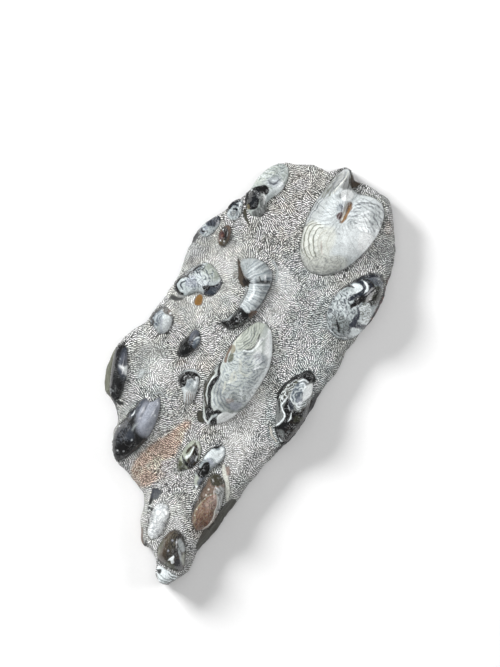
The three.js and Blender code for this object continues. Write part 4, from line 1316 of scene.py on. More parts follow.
# Small and nearly black.
SMALL_DARK = Dress("ammonite_small_dark", Slot.DARK, INK, ridges=(
    Ridge((-38.5, 10), (-38.5, -2), 2, -1.4),
), marks=(
    Patch(PITCH, (-49, -10, -34, -8, -36, -18, -42, -22, -48, -18), 4, 0.7),
    Patch(DUSK, (-45.5, 10, -41, 12.5, -37.5, 8, -39, 0, -43, -3, -45, 2), 2, 0.95),
    Patch(STEEL, (-39, 2, -35, 6, -32.5, 2, -34, -7, -38, -6), 2, 0.9),
    Band(PEARL, (-39, 0, -37.4, 4, -34.5, 6), (0.6, 0.8, 0.7), 1, 0.9),
    Band(FOG, (-35.3, 2, -35.2, -1), (0.7,), 1.4, 0.7),
    Dots(DUSK, (-40.3, -5), 1.2, 2, 0.8),
))

# A black crescent over a ribbed brown lobe.
LITTLE_SHELL_RIBS: tuple[float, ...] = (-20, -47, -12, -46, -9.5, -53, -12, -59, -17, -59)
LITTLE_SHELL = Dress("ammonite_little_shell", Slot.MARBLED, PEARL, marks=(
    Ripples(ROSE, LITTLE_SHELL_RIBS, (-32, -28), 2.3, 0.4, 7, 0.45, 2, 0.5, seed=19, fan_radius=30),
    Ripples(EARTH, LITTLE_SHELL_RIBS, (-32, -28), 2.3, 0.4, 7, 0.3, 2, 0.5, seed=20, fan_radius=30),
    Patch(FOG, (-25.5, -36.5, -21, -33, -17, -34, -13.5, -40, -13.5, -45, -18, -46, -23, -46, -24.5, -41)),
    Patch(STEEL, (-24, -38, -21, -35, -20, -42, -22.5, -44), 1.6, 0.5),
    Patch(MILK, (-18.5, -35, -16, -36, -14, -41, -15.5, -42, -18, -38), 1.6, 0.9),
    Band(PITCH, (-28, -45, -30, -40, -29, -35.5, -25, -31.5, -20.5, -29.6, -17.5, -29.6), (3, 3.6, 4, 3.8, 2.8, 1.2),
        0.9),
    Patch(PITCH, (-27, -38, -25.5, -37, -23.6, -43, -26, -46.5, -30, -45), 1),
    Patch(PITCH, (-22, -32, -19, -31, -18, -35, -20.5, -34), 1, 0.9),
    Dots(MILK, (-18.2, -30.9), 1.1),
))

# A small black and white swirl.
LEFT_SWIRL = Dress("ammonite_left_swirl", Slot.MARBLED, PEARL, worn=1, depth=1.45, marks=(
    Patch(ASH, (-71.6, 128.4, -69, 132, -66, 131.4, -66.4, 127, -69.9, 125.6), 1.2, 0.85),
    Band(COAL, (-74, 131.6, -72.6, 136, -69.3, 138.4, -65.6, 138.6), (0.6, 1.1, 1.1, 0.8)),
    Band(COAL, (-70.7, 132.8, -67.8, 134.4, -64.9, 132.6, -63.8, 129.6), (0.6, 1.1, 1.1, 0.8)),
    Band(INK, (-70, 143.6, -73.4, 139, -75.2, 134.4, -75.2, 128.1, -74.6, 123), (1.8, 1.6, 1.2, 1.1, 1.4)),
    Band(COAL, (-64.6, 135.9, -63.6, 139.6, -63.7, 143.2, -64.7, 146.2), (0.5, 0.7, 0.6), 0.8, 0.9),
    Band(MILK, (-67.3, 142, -66, 136.4, -63.4, 130, -62, 126), (0.9, 0.6, 0.9), 0.8, 0.9),
    Ripples(STEEL, (-72, 150, -65, 150, -62, 140, -60, 126, -66, 124, -74, 128), (-80, 120), 3, 2.4, 3, 0.28, 1,
        seed=41),
))

# Slate blue and white.
LEFT_BLUE = Dress("ammonite_left_blue", Slot.MARBLED, PEARL, worn=1, depth=1.6, marks=(
    Patch(DUSK, (-88, 107, -85.4, 113, -82.6, 119, -78, 122.6, -75.6, 119.1, -75.6, 112.6, -78.4, 106.6, -83, 105),
        1.6, 0.9),
    Ripples(COAL, (-86, 108, -82, 119, -77, 121, -76, 112, -79, 107), (-60, 122), 2.8, 0.8, 5, 0.35, 1.2, seed=42),
    Patch(PEARL, (-83, 105.6, -77, 107.6, -75.6, 103, -79, 98, -83, 99), 1.8, 0.8),
    Patch(LILAC, (-90, 97, -88, 103, -84, 104, -84, 97), 1.8, 0.8),
    Ripples(SLATE, (-90, 96, -86, 105, -77, 107, -76, 100, -84, 95), (-70, 90), 3.4, 2.6, 3, 0.3, 1, 0.55, seed=43),
    Band(INK, (-88, 100.2, -86.4, 98.4, -84, 99.2, -82, 101), (0.5, 0.8, 0.6, 0.4)),
    Band(MILK, (-87, 101.4, -85, 100.8, -82.4, 99), (0.5,), 0.7, 0.8),
    Band(COAL, (-89, 106.6, -86.4, 113, -82, 119.6), (0.5, 0.8, 0.6), 0.9, 0.7),
))

# The smallest: brown, with a red middle.
RED_HEART = Dress("ammonite_red_heart", Slot.BROWN, EARTH, worn=0.2, depth=1.3, marks=(
    Patch(MOSS, (-64, 104, -58, 102, -58, 96, -62, 94, -66, 98), 2, 0.6),
    Patch(COAL, (-71, 110, -67, 114, -62.5, 109, -61.6, 103, -63.8, 101.6, -66, 107), 1.2, 0.9),
    Patch(WINE, (-70.4, 105.5, -68, 108.4, -64.8, 104.6, -64.6, 99.6, -68.2, 100.4), 1, 0.95),
    Patch(BRICK, (-68.6, 104.6, -67, 106, -66, 103, -67.4, 101.8), 1.2, 0.8),
    # Painted highlights: small white glints.
    Dots(MILK, (-68.9, 110, -62.4, 100.2, -66.1, 98.9), 0.75, 0.8, 0.9),
    Band(ASH, (-70.6, 101.4, -66, 95.6, -60.6, 95), (0.5,), 0.8, 0.7),
))

# Pale blue with dark edges.
LEFT_NOTCH = Dress("ammonite_left_notch", Slot.MARBLED, FOG, marks=(
    Patch(UMBER, (-83, 15, -76, 17, -70, 13, -73, 8, -80, 9), 2, 0.75),
    Patch(ROSE, (-77, 16, -72, 15, -70, 11, -75, 11), 2, 0.6),
    Patch(STEEL, (-86, 8, -79, 8, -77, -2, -80, -9, -86, -6), 2, 0.8),
    Ripples(PEARL, (-86, 8, -78, 8, -78, -8, -86, -5), (-77, 2), 2.8, 1.2, 4, 0.34, seed=22),
    Patch(MILK, (-78, 7, -70, 8, -66, -2, -68, -11, -73, -8, -77, 0), 2.6, 0.7),
    Band(LILAC, (-77, 2, -74, -5, -70, -11), (1,), 2, 0.7),
    Band(COAL, (-81, 14.5, -85, 9.5, -87.5, 2, -88.5, -3), (1.2, 1.9, 2, 2), 1.1),
    Band(INK, (-89, -3.5, -84.5, -3.5, -82, -8), (1.6, 1.2, 0.8), 1, 0.9),
    # Painted highlight: a small white glint.
    Dots(MILK, (-72.8, 11.8), 1.3, 1, 0.95),
))

# Cream folds between black ones.
FOLDED = Dress("ammonite_folded", Slot.MARBLED, LICHEN, depth=1.45, marks=(
    Patch(MOSS, (5, -112, 12, -111, 18, -117, 13, -123, 8, -119), 1.8, 0.85),
    Patch(UMBER, (14.5, -89, 19, -91, 22.5, -97, 25.5, -105, 24, -113, 18, -113, 14.5, -107, 15.5, -98), 1.3, 0.9),
    Patch(COAL, (16, -90, 20, -95, 21, -101, 17, -100), 2, 0.7),
    Patch(DUSK, (16, -101, 21, -102, 21, -108, 17, -107), 2.4, 0.6),
    Band(COAL, (8, -105, 11.5, -108.5, 16, -110.5, 23, -110), (0.7, 1.3, 1.8, 2.2), 1, 0.9),
    Band(UMBER, (12.5, -91, 11, -96, 10.4, -101), (1, 1.2, 0.7), 1, 0.85),
    Band(UMBER, (13.4, -88, 14.2, -93), (0.9,), 1, 0.7),
    Band(MILK, (14, -92, 14.4, -99, 13, -105), (0.7, 0.9, 1.2), 0.9, 0.9),
    Band(MILK, (22, -103, 21.5, -99), (0.9,), 1.2, 0.7),
))

# White, with a dark wavy line beside it.
WHITE_SWIRL = Dress("ammonite_white_swirl", Slot.MARBLED, FOG, depth=1.35, marks=(
    Ripples(STEEL, (30, -80, 44, -78, 46, -92, 38, -104, 28, -104), (38, -112), 4.4, 2.6, 6, seed=23),
    Patch(MILK, (29, -86, 36, -84, 40, -78, 44, -84, 42, -94, 34, -92, 29, -98), 2.4, 0.7),
    Patch(LILAC, (30, -94, 38, -95, 42, -99, 36, -99), 2, 0.7),
    Patch(LICHEN, (29, -116, 34, -116, 38, -126, 32, -124), 2, 0.8),
    Patch(DUSK, (34, -112, 38, -110, 39, -122, 35, -122), 1.6, 0.8),
    Patch(INK, (31, -101, 34, -98, 38, -102.5, 39.5, -109, 36, -115.5, 31.5, -115, 27.5, -112, 27.5, -107,
        30.5, -107), 1),
    Dots(MILK, (36, -125.6, 36.6, -78), 1.5, 1, 0.95),
    Band(COAL, (36.2, -75, 36.6, -78, 34, -81.4, 30.5, -83.5, 28, -87.5, 27.4, -93), (1.7, 1.3, 1.3, 1.2, 1.1, 0.7),
        0.9),
))

# Brown, with a pale oval ring.
BROWN_OVAL_CROWN: tuple[float, ...] = (57, -126, 50, -134, 48, -150, 56, -160, 65, -154, 64, -136)
BROWN_OVAL = Dress("ammonite_brown_oval", Slot.BROWN, EARTH, worn=1.2, depth=1.05, ridges=(
    Ridge((50, -112), (62, -122), 4, -2),
), marks=(
    Patch(ASH, (60, -112, 66, -120, 69, -134, 64, -140, 60, -126, 54, -118), 3, 0.8),
    Ripples(PEARL, (52, -112, 62, -116, 68, -130, 62, -130, 54, -120), (50, -140), 3.4, 2, 5, 0.34, 3, 0.55, seed=24),
    Patch(UMBER, (40.5, -104, 46, -116, 47, -134, 44, -150, 40, -140), 2, 0.9),
    Patch(EARTH, (43.5, -112, 47.5, -112, 49, -122, 48.5, -130, 44.5, -128), 2.2, 0.65),
    Dots(CREAM, (47.6, -121, 48.4, -127), 1, 1.4, 0.7),
    Patch(OLIVE, (42, -104.5, 50, -102, 57.5, -107, 57, -111, 51, -115.5, 44.5, -113), 1.4, 0.95),
    Band(COAL, (42, -118, 42.6, -134, 45, -149), (0.9,), 1.2, 0.8),
    Patch(BRICK, (57, -122, 51, -129, 48, -142, 48, -150, 52, -158, 58, -162, 63, -159, 66, -152, 65, -140, 62, -130),
        1.6, 0.9),
    Patch(ROSE, (57, -122.5, 52.5, -129, 52, -137, 58, -138, 62, -134, 60, -126), 2.6, 0.95),
    Ripples(WINE, BROWN_OVAL_CROWN, (40, -150), 5, 4.4, 5, 0.36, 2, seed=46),
    Ripples(SAND, BROWN_OVAL_CROWN, (72, -150), 4.6, 4.4, 4, 0.28, 2, 0.55, seed=47),
    Band(COAL, (55, -122, 50.4, -125, 48, -131, 46.2, -141, 45.4, -148, 49, -157.4, 56, -163.4), (0.5,), 0.8, 0.7),
    Band(SAND, (57, -121.5, 52.2, -124.5, 49.6, -129, 48.6, -135, 47.1, -141, 47.2, -147, 50.4, -153, 51, -157,
        56, -161.6), (0.5, 0.6, 0.4, 0.8, 0.4, 0.8, 0.3, 0.6), 0.8, 0.9),
    Band(CREAM, (57, -121.5, 61, -127, 63.4, -133, 64.6, -139, 66.4, -145, 65.6, -153, 62, -160), (0.3, 0.5, 0.3, 0.7,
        0.4, 0.6, 0.3), 0.8, 0.7),
    Dots(CREAM, (47.4, -144, 49.4, -131, 48.4, -150.4, 66, -148, 52.6, -125), 0.6, 0.8, 0.9),
    Dots(INK, (67, -134), 1.4, 1.2, 0.9),
))

# Pale and nearly flush, with chisel marks all over.
PALE_FLUSH = Dress("ammonite_pale_flush", Slot.PALE, MILK, worn=4.5, blank=0.36, depth=0.9, marks=(
    Patch(SNOW, (18, -160, 26, -162, 28, -178, 22, -184, 17, -174), 3, 0.85),
    Patch(ASH, (9, -166, 14, -168, 15, -186, 12, -184), 2, 0.7),
    Ripples(STEEL, (12, -158, 28, -162, 29, -192, 16, -192), (22, -170), 4.6, 4.2, 5, 0.26, seed=25),
    Ripples(FOG, (12, -158, 26, -160, 28, -178, 16, -178), (8, -176), 4.4, 3.2, 6, share=0.5, seed=26),
    Dots(SLATE, (11.5, -172.5, 12.5, -180), 1.5, 1.8, 0.7),
))

# A dark green-grey dome.
TAIL_DOME = Dress("ammonite_tail_dome", Slot.DARK, UMBER, depth=1.1, ridges=(
    Ridge((50, -181), (57, -192), 3, -0.8),
), marks=(
    Patch(COAL, (40, -174, 52, -174, 57, -186, 52, -200, 44, -204, 40, -190), 6, 0.8),
    Ripples(SAND, (32, -180, 44, -176, 50, -200, 60, -210, 40, -212, 32, -200), (58, -176), 2.4, 2.6, 4, 0.36, 3,
        0.25, seed=48),
    Patch(MOSS, (32, -188, 36, -190, 39, -202, 37, -208, 32, -202), 3, 0.75),
    Patch(UMBER, (37, -192, 42, -194, 45, -206, 42, -210, 38, -204), 3, 0.7),
    Patch(FOG, (47, -178, 53, -180, 59, -186, 55, -188, 49, -184), 2, 0.85),
    Band(FOG, (51, -187, 55, -191, 59.5, -197), (0.6, 1.3, 0.7), 1, 0.85),
    Patch(LICHEN, (58, -188, 63, -194, 64, -199, 59, -196), 2, 0.7),
    Patch(MOSS, (48, -204, 57, -203, 60, -209, 48, -210), 2.6, 0.85),
    Patch(SLATE, (56, -196, 62, -198, 66, -206, 58, -206, 54, -200), 3, 0.6),
    # Painted highlight: a white triangle on the dome.
    Patch(MILK, (50.2, -195, 48.6, -199, 47.6, -203, 50.4, -201.3, 52.4, -204.4, 54.6, -201, 52.6, -198.4), 0.7),
    Dots(LILAC, (43.5, -193.6, 42, -182.6, 46, -182.5), 0.9, 1.2, 0.8),
))

# Pale, with dark wavy lines.
TIP = Dress("ammonite_tip", Slot.MARBLED, MILK, depth=1.5, marks=(
    Ripples(FOG, (48, -219, 60, -218, 58, -228, 48, -226), (52, -208), 2.9, 0.5, 5, 0.4, 3, 0.8, seed=27),
    Patch(MILK, (49, -213, 56, -212, 58, -218, 50, -219), 2, 0.7),
    Ripples(COAL, (56, -210, 66, -210, 64, -218, 57, -217), (58, -240), 2.8, 1, 4, 0.4, 3, 0.7, seed=28),
    Patch(COAL, (43, -216, 47, -214, 48, -218, 45, -219), 1.4, 0.85),
    # Painted highlight: a small white glint.
    Dots(MILK, (43.2, -213.8), 1.4, 1, 0.9),
    # Painted shade: the black line of the flank's shadow at the right edge.
    Band(INK, (62.6, -218.5, 60.5, -222, 59.6, -225), (0.9, 0.8, 0.6), 0.8, 0.9),
))

DRESSES: dict[str, Dress] = {
    dress.node: dress
    for dress in (
        GREAT, RIGHT_EDGE, CENTRE, HORN, LOWER_RIGHT, LEFT_SHOULDER, LEFT_HIP, TOP_LEFT, WINGED, SMALL_DARK,
        LITTLE_SHELL, LEFT_SWIRL, LEFT_BLUE, RED_HEART, LEFT_NOTCH, FOLDED, WHITE_SWIRL, BROWN_OVAL, PALE_FLUSH,
        TAIL_DOME, TIP,
    )
}


@dataclass
class Ammonite:
    """One polished shell: a dome over its outline, an upright edge, and a flat seat under it."""

    dress: Dress
    outline: Array
    seat: float
    top: float

    SPACING = 0.62  # between the points of a dome
    SECTION = 0.5  # height over the seat at which the outline is read
    DOME_POWER = 2.3  # how flat the crown of the dome is
    DOME_SWEEP = 0.72  # how steeply the dome leaves its rim
    LIP = 0.25  # height of the rim over the stone beside it
    WOBBLE = 0.16  # unevenness left by hand polishing
    EDGE_DROP = 1.5  # of the edge's upper ring under the rim's lowest point
    WELD = 0.002  # distance at which points are merged
    LOWEST_TONE = 0.008  # light that even the blackest calcite gives back

    @classmethod
    def from_node(cls, name: str, node: CadNode) -> "Ammonite":
        """Reads a shell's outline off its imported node.

        Args:
            name: the node's name.
            node: its mesh.

        Returns:
            The shell.
        """
        dress, seat = DRESSES[name], node.points[:, 2].min()
        outline = spline(node.section(seat + cls.SECTION), True, cls.SPACING)
        top = node.points[:, 2].max() if dress.spine else node.height_at(outline.mean(0))
        return cls(dress, outline, seat, top)

    def window(self, at: Array, margin: float) -> Array:
        """Which points lie in a box about the shell, widened by a margin."""
        return (np.abs(at - self.outline.mean(0)) < np.ptp(self.outline, 0) / 2 + margin).all(1)

    def spine(self) -> tuple[Array, Array]:
        """The point under the crown for each outline point, and how much of the rise it gets.

        Returns:
            Both, one for each point of the outline.
        """
        if not self.dress.spine:
            middle = self.outline.mean(0)
            return np.repeat(middle[None], len(self.outline), 0), np.ones(len(self.outline))
        knots = np.array(self.dress.spine, float)
        line = spline(knots, False, 1.0)
        away = np.linalg.norm(self.outline[:, None] - line[None, :, :2], axis=2) - line[None, :, 2]
        nearest = line[away.argmin(1)]
        return nearest[:, :2], np.sqrt(np.clip(nearest[:, 2] / knots[:, 2].max(), 0, 1))

    def sheet(self, ground: Callable[[Array], Array], combing: Callable[[Array, Array], Array]) -> Sheet:
        """The shell's mesh.

        A point of the dome lies a share s of the way from the spine to the outline, at a height of
        ground + rise * (1 - s^DOME_POWER)^DOME_SWEEP, where the ground runs from the spine's to the
        rim's with s^2. Under the rim the edge goes straight down to the seat, which closes flat.

        Args:
            ground: height of the stone at points in plan.
            combing: the strokes' directions for the shader.

        Returns:
            The mesh with its painted colour.
        """
        dress = self.dress
        spine, share_of_rise = self.spine()
        count = len(self.outline)
        reach = np.linalg.norm(self.outline - spine, axis=1).mean()
        t = np.linspace(1, 0, max(12, round(1.15 * reach / self.SPACING)) + 1)
        shares = (1 - (1 - t) ** 1.4)[:, None]
        xy = spine[None] + shares[..., None] * (self.outline - spine)[None]
        flat = xy.reshape(-1, 2)
        low, middle = ground(self.outline) + self.LIP, ground(spine) + self.LIP
        rise = (self.top - middle.max()) * share_of_rise
        dome = np.clip(1 - shares**self.DOME_POWER, 0, 1) ** self.DOME_SWEEP
        z = middle + (low - middle) * shares**2 + rise * dome
        z = z.ravel() + sum(ridge(flat) for ridge in dress.ridges)
        z += self.WOBBLE * Noise(5, 9.0, 2)(flat) * np.repeat(dome.ravel(), count)
        levels = np.repeat([self.seat, low.min() - self.EDGE_DROP], count)
        edge = np.column_stack([np.tile(self.outline, (2, 1)), levels])
        floor = np.column_stack([spine, np.full(count, self.seat)])
        points = np.vstack([floor, edge, np.column_stack([flat, z])])
        faces = ring_faces(len(points) // count, count)
        plan = points[:, :2]
        colour = np.clip(painted(dress.ground.linear(), dress.marks, plan), 0, 1) ** dress.depth
        colour = np.maximum(colour, self.LOWEST_TONE)
        edge_near = 1 - inside_distance(self.outline, plan) / dress.worn + 0.8 * Noise(71, 5.0, 2)(plan)
        worn = np.clip(np.maximum(edge_near, dress.blank), 0, 1)
        values = {"paint": colour, "worn": worn, "comb": combing(plan, np.zeros(len(plan)))}
        return Sheet(points, faces.tolist(), values)

    def build(self, stone: "StonePlate", finish: bpy.types.Material) -> bpy.types.Object:
        """Makes the shell's piece, merges its folded ring and hands it to the frame.

        Args:
            stone: the stone round it.
            finish: its material.

        Returns:
            The piece.
        """
        piece = self.sheet(stone.ground, stone.combing).piece(f"{self.dress.node}_shell")
        weld = piece.modifiers.new("weld", "WELD")
        weld.merge_threshold = self.WELD * MM
        graph = bpy.context.evaluated_depsgraph_get()
        closed = bpy.data.meshes.new_from_object(piece.evaluated_get(graph))
        piece.modifiers.clear()
        piece.data = closed
        piece.data.materials.clear()
        piece.data.materials.append(finish)
        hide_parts(self.dress.node)
        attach(piece, BODY)
        return piece


# ------------------------------------------------------------------------------ the stone

# The hue of the stone from place to place, with painted shade on the slope by the left edge.
STONE_TINTS: tuple[Mark, ...] = (
    Patch(WARM_STONE, (-90, 100, -70, 175, -40, 210, 0, 222, -4, 180, 2, 120, -46, 110, -44, 40, -90, 20), 34, 0.6),
    Patch(ASH, (-62, 116, -50, 118, -10, 110, -22, 60, -36, 20, -62, 10, -74, 60), 20, 0.5),
    Patch(SLATE, (-40, 136, -14, 140, -18, 124, -38, 122), 8, 0.35),
    Patch(SLATE, (70, 176, 78, 182, 90, 176, 94, 160, 84, 150, 72, 152), 8, 0.45),
    Patch(COOL_STONE, (0, 120, 60, 110, 96, 60, 98, -20, 70, -90, 40, -90, 44, 20, 30, 60), 34, 0.8),
    Patch(COOL_STONE, (-70, -30, -40, -40, -38, -70, -60, -100, -72, -70), 20, 0.6),
    Patch(ROSE, (-36, 200, -18, 202, -8, 176, -10, 136, -30, 130, -38, 150, -30, 176), 9, 0.22),
    Patch(ROSE, (-22, -8, -10, 0, -10, -20, -24, -24), 8, 0.3),
    Patch(ROSE, (-42, -22, -33, -22, -32, -29, -41, -29), 5, 0.6),
    Patch(ROSE, (70, 208, 78, 200, 78, 190, 70, 190), 5, 0.6),
    Patch(EARTH, (68, 198, 73, 200, 75, 195, 70, 192), 2.5, 0.8),
    Patch(UMBER, (70, 74, 100, 76, 98, 60, 82, 58), 10, 0.4),
    Patch(UMBER, (46, 10, 58, 8, 60, -14, 44, -18), 9, 0.35),
    Patch(SLATE, (90, 50, 98, 50, 98, 28, 90, 28), 8, 0.4),
    Patch(SLATE, (-66, 122, -54, 118, -54, 100, -62, 100), 9, 0.4),
    # Painted shade on the slope by the left edge.
    Patch(SLATE, (-92, 96, -76, 92, -76, 76, -90, 76), 9, 0.35),
    Patch(COAL, (80, 176, 92, 180, 106, 160, 106, 120, 96, 142, 84, 150, 66, 146, 70, 158), 6, 0.5),
    Patch(COAL, (-94, 112, -78, 100, -70, 84, -76, 70, -92, 56, -100, 80), 7, 0.75),
    Patch(UMBER, (14, -68, 26, -68, 26, -82, 14, -82), 6, 0.45),
    Patch(CHALK, (-74, 92, -40, 90, -38, 60, -46, 20, -66, 14, -58, 60), 16, 0.28),
    Patch(CHALK, (-50, -30, -30, -50, -44, -56, -64, -46), 10, 0.4),
    Patch(CHALK, (66, -56, 84, -56, 78, -90, 60, -84), 12, 0.35),
    Patch(RUST, (37, -38.6, 40, -36, 43.4, -38, 40.5, -41.4), 2.5, 0.6),
    Patch(SLATE, (47, -35, 51.5, -32.4, 53.7, -35, 49, -37.6), 2.5, 0.6),
    Patch(LILAC, (-9.6, 2, -7.3, 4, -3.5, -3, -7, -4), 2.5, 0.7),
    Patch(PEARL, (-63, 130, -60, 135, -55, 128, -54.4, 119, -60, 117, -63.2, 124), 3, 0.6),
    Patch(MOSS, (-87, 88, -80, 88.5, -75, 95, -71, 99, -70, 94, -73, 89, -81, 85), 3, 0.7),
    Patch(RUST, (-27, -152, -30, -132, -24, -112, -14, -92, -7, -74, 0, -74, 1, -92, 2, -112, 1, -134, -7, -150,
        -16, -156), 6, 0.92),
    Patch(ROSE, (-4, -116, 6, -112, 7, -132, -3, -136), 5, 0.6),
    Patch(CHALK, (14, -34, 36, -8, 54, -16, 60, -56, 66, -92, 48, -90, 32, -66, 18, -60), 9, 0.42),
    Patch(PEARL, (0, 104, 20, 100, 28, 76, 26, 54, 10, 52, 4, 72), 8, 0.35),
    # More painted shade on the same slope by the left edge.
    Patch(SLATE, (-94, 102, -74, 98, -70, 82, -78, 70, -92, 68), 7, 0.3),
    Patch(EARTH, (50, -160, 70, -158, 68, -172, 56, -170), 6, 0.7),
    Patch(EARTH, (34, -88, 62, -92, 60, -100, 46, -98), 6, 0.4),
)

# Where the strokes lie so close that little dark stone shows.
BRIGHT_STONE: tuple[Mark, ...] = (
    Patch(STONE, (14, -34, 36, -8, 54, -14, 60, -56, 66, -94, 48, -90, 32, -66, 18, -60), 8),
    Patch(STONE, (0, 106, 20, 102, 28, 78, 26, 54, 10, 52, 4, 72), 8),
    Patch(STONE, (0, -152, 28, -146, 42, -156, 46, -174, 64, -190, 60, -212, 16, -198, 2, -172), 7),
)

# Where the strokes are worn and grey.
DULL_STONE: tuple[Mark, ...] = (
    Patch(STONE, (-92, 100, -60, 110, -40, 106, -34, 76, -30, 40, -44, 10, -60, 8, -80, 20, -90, 60), 24),
    Patch(STONE, (-84, -20, -60, -26, -40, -44, -56, -60, -80, -50), 16, 0.9),
    Patch(STONE, (-30, -92, -8, -90, 4, -110, 0, -150, -24, -152, -34, -120), 14, 0.1),
)

# Bits of shell and smooth stone that lie flush in the face, and a few patches of painted shade.
STONE_SPOTS: tuple[Mark, ...] = (
    Patch(MOSS, (-107, -48, -107, -68, -99, -82, -90, -96, -82, -96, -85, -79, -94, -66, -100, -48), 1.6, 0.85),
    # Painted shade: the dark hollow beside the great shell's lip.
    Patch(UMBER, (12, 221, 14, 214.5, 20, 210.5, 24, 213, 27, 219, 20, 222), 2, 0.95),
    Band(COAL, (14, 228, 18, 222, 20, 218), (1.2,), 1.2, 0.9),
    Band(COAL, (1, 222, 3.4, 226, 9, 229.5), (1.2,), 1, 0.9),
    Patch(OCHRE, (-57.5, 42, -54, 42.6, -51.2, 38.4, -51.5, 33, -55.5, 31.6, -58.6, 34.8), 1.4, 0.95),
    Patch(COAL, (-80.5, 28, -80, 24.5, -74, 25.5, -69.5, 29.5, -68.5, 34, -73, 29.5), 1.2, 0.85),
    Patch(ASH, (-76, 30, -69, 31, -69, 35, -75, 34), 1.6, 0.7),
    # Beside the horn's broken end: brown stone, darkened as painted shade, darkest at its foot.
    Patch(UMBER, (-42, 93, -35, 88, -26, 83, -20, 77, -21, 71, -28, 72, -34, 80), 1.2, 0.95),
    Patch(INK, (-27, 79, -21, 77, -21, 72, -26, 74), 1.5, 0.8),
    Patch(OLIVE, (1, -58, 6, -60, 9.5, -66, 4, -67, 0.5, -62), 1.4, 0.85),
    Band(PEARL, (-4.5, -20, -4.6, -10, -6, -14), (0.8, 1.2, 1.2), 1.4, 0.7),
    Band(OLIVE, (-60, 138, -58, 134, -54.5, 130.6, -49, 127), (1, 1.2, 1, 0.6), 1, 0.85),
    Patch(INK, (-92, 94, -89, 95, -87.6, 90.6, -87.6, 86, -92, 84), 1.4, 0.9),
    Band(COAL, (-66.9, 158, -64.8, 150, -62, 143), (0.8, 1, 0.8), 0.9, 0.85),
    Band(COAL, (-73.5, -91, -69, -90.5), (1.3, 1), 1.2, 0.9),
    Band(COAL, (-80, -91, -76, -95, -73, -98), (2.2, 1.8, 1), 1.2, 0.9),
    Patch(PEARL, (-71, -52, -67, -50, -66, -58, -69, -59), 2.2, 0.75),
    Band(CREAM, (49, -94, 54, -100, 60, -106, 66, -115, 70, -122), (1.5, 2.4, 2.3, 2, 1.2), 1.2, 0.9),
    Band(ROSE, (54, -94, 57, -99), (2.2, 1.2), 2, 0.7),
    Band(INK, (1, -151, 3, -158, 4, -163), (1, 1.4, 0.9), 1, 0.9),
    Patch(SLATE, (0, -148, 8, -148, 8, -156, 2, -157), 3, 0.6),
    Patch(OLIVE, (74, -119, 70, -128, 66.5, -141, 65, -156, 64.4, -171, 68, -180, 76, -172, 80, -150, 82, -130,
        80, -120), 1.6, 0.75),
    Dots(COAL, (6, -167, 9, -167.5, 58, 136, 58.5, 131), 1.2, 1, 0.85),
    Patch(PITCH, (71, 26.6, 76, 31.4, 82.6, 29.6, 86, 25, 83, 19, 76, 18, 70, 20), 0.7),
    Band(PITCH, (73.4, 25.6, 68.2, 20, 64.4, 13.2, 61.4, 5.8, 60.4, -1.8, 61.8, -8.4, 66.2, -14.2, 70.5, -20), (1.4,
        1.3, 1.1, 0.9, 0.8, 0.7, 0.7, 0.4), 0.8, 0.95),
    Patch(PITCH, (74, -34, 80, -28, 86, -14, 92, 4, 98, 16, 106, 8, 104, -30, 96, -48, 84, -44), 1.2, 0.95),
    Band(CHALK, (70, -37, 74.8, -42.9, 82.4, -46.2), (0.7, 0.9, 0.6), 0.8, 0.9),
    Band(COAL, (20, -198, 21, -202), (0.9,), 1, 0.85),
    Band(EARTH, (10, -190, 15, -199, 18, -203), (0.8, 1, 0.8), 1.2, 0.8),
    Band(PEARL, (-17, 54, -18, 66, -20, 72), (0.8,), 1.2, 0.6),
    Band(PEARL, (-34, -36, -30, -29.5, -24, -25.4, -17, -27.5), (0.7,), 0.9, 0.8),
    Band(PEARL, (-10, 108, -2, 102, 2, 92), (0.9,), 1.2, 0.7),
    Band(PEARL, (-46, -66, -42, -62, -39, -63), (0.8,), 1.4, 0.6),
)

# Stains and paler tones on the broken flank, and painted shade along its right side.
FLANK_TONES: tuple[Mark, ...] = (
    Band(MOSS, (-106, -48, -104, -64, -98, -80, -90, -92), (6, 9, 10, 7), 4, 0.6),
    # Painted shade along the right side of the flank.
    Band(INK, (104, 166, 107, 128, 104, 88), (10,), 6, 0.7),
    Dots(WINE, (99, 150, 102, 141, 105, 126, 104, 117, 103, 98), 2.2, 2, 0.8),
    Dots(BRICK, (100, 147, 104, 131, 105, 108), 1.2, 1.5, 0.8),
    # Painted shade along the right side of the flank, by the lower right shell.
    Band(INK, (98, 10, 98, -20, 92, -48), (10,), 5, 0.9),
    Band(UMBER, (79, -120, 77, -140, 74, -172), (9,), 5, 0.5),
    Band(INK, (-66, -112, -56, -138, -44, -148), (6,), 4, 0.8),
    Band(EARTH, (4, -184, 16, -203, 26, -206), (6,), 4, 0.8),
    Band(SLATE, (-70, 180, -40, 208, 0, 225), (8,), 6, 0.5),
    Band(SLATE, (-94, 110, -90, 60, -88, 20, -100, -30), (8,), 6, 0.6),
)

# Where the flank is broken without a chisel mark up to the rim.
BARE_FLANK: tuple[Mark, ...] = (
    Band(CHALK, (104, 152, 108, 128, 105, 88), (6,), 4),
    Band(CHALK, (100, 12, 101, -20, 94, -50), (8,), 4),
)


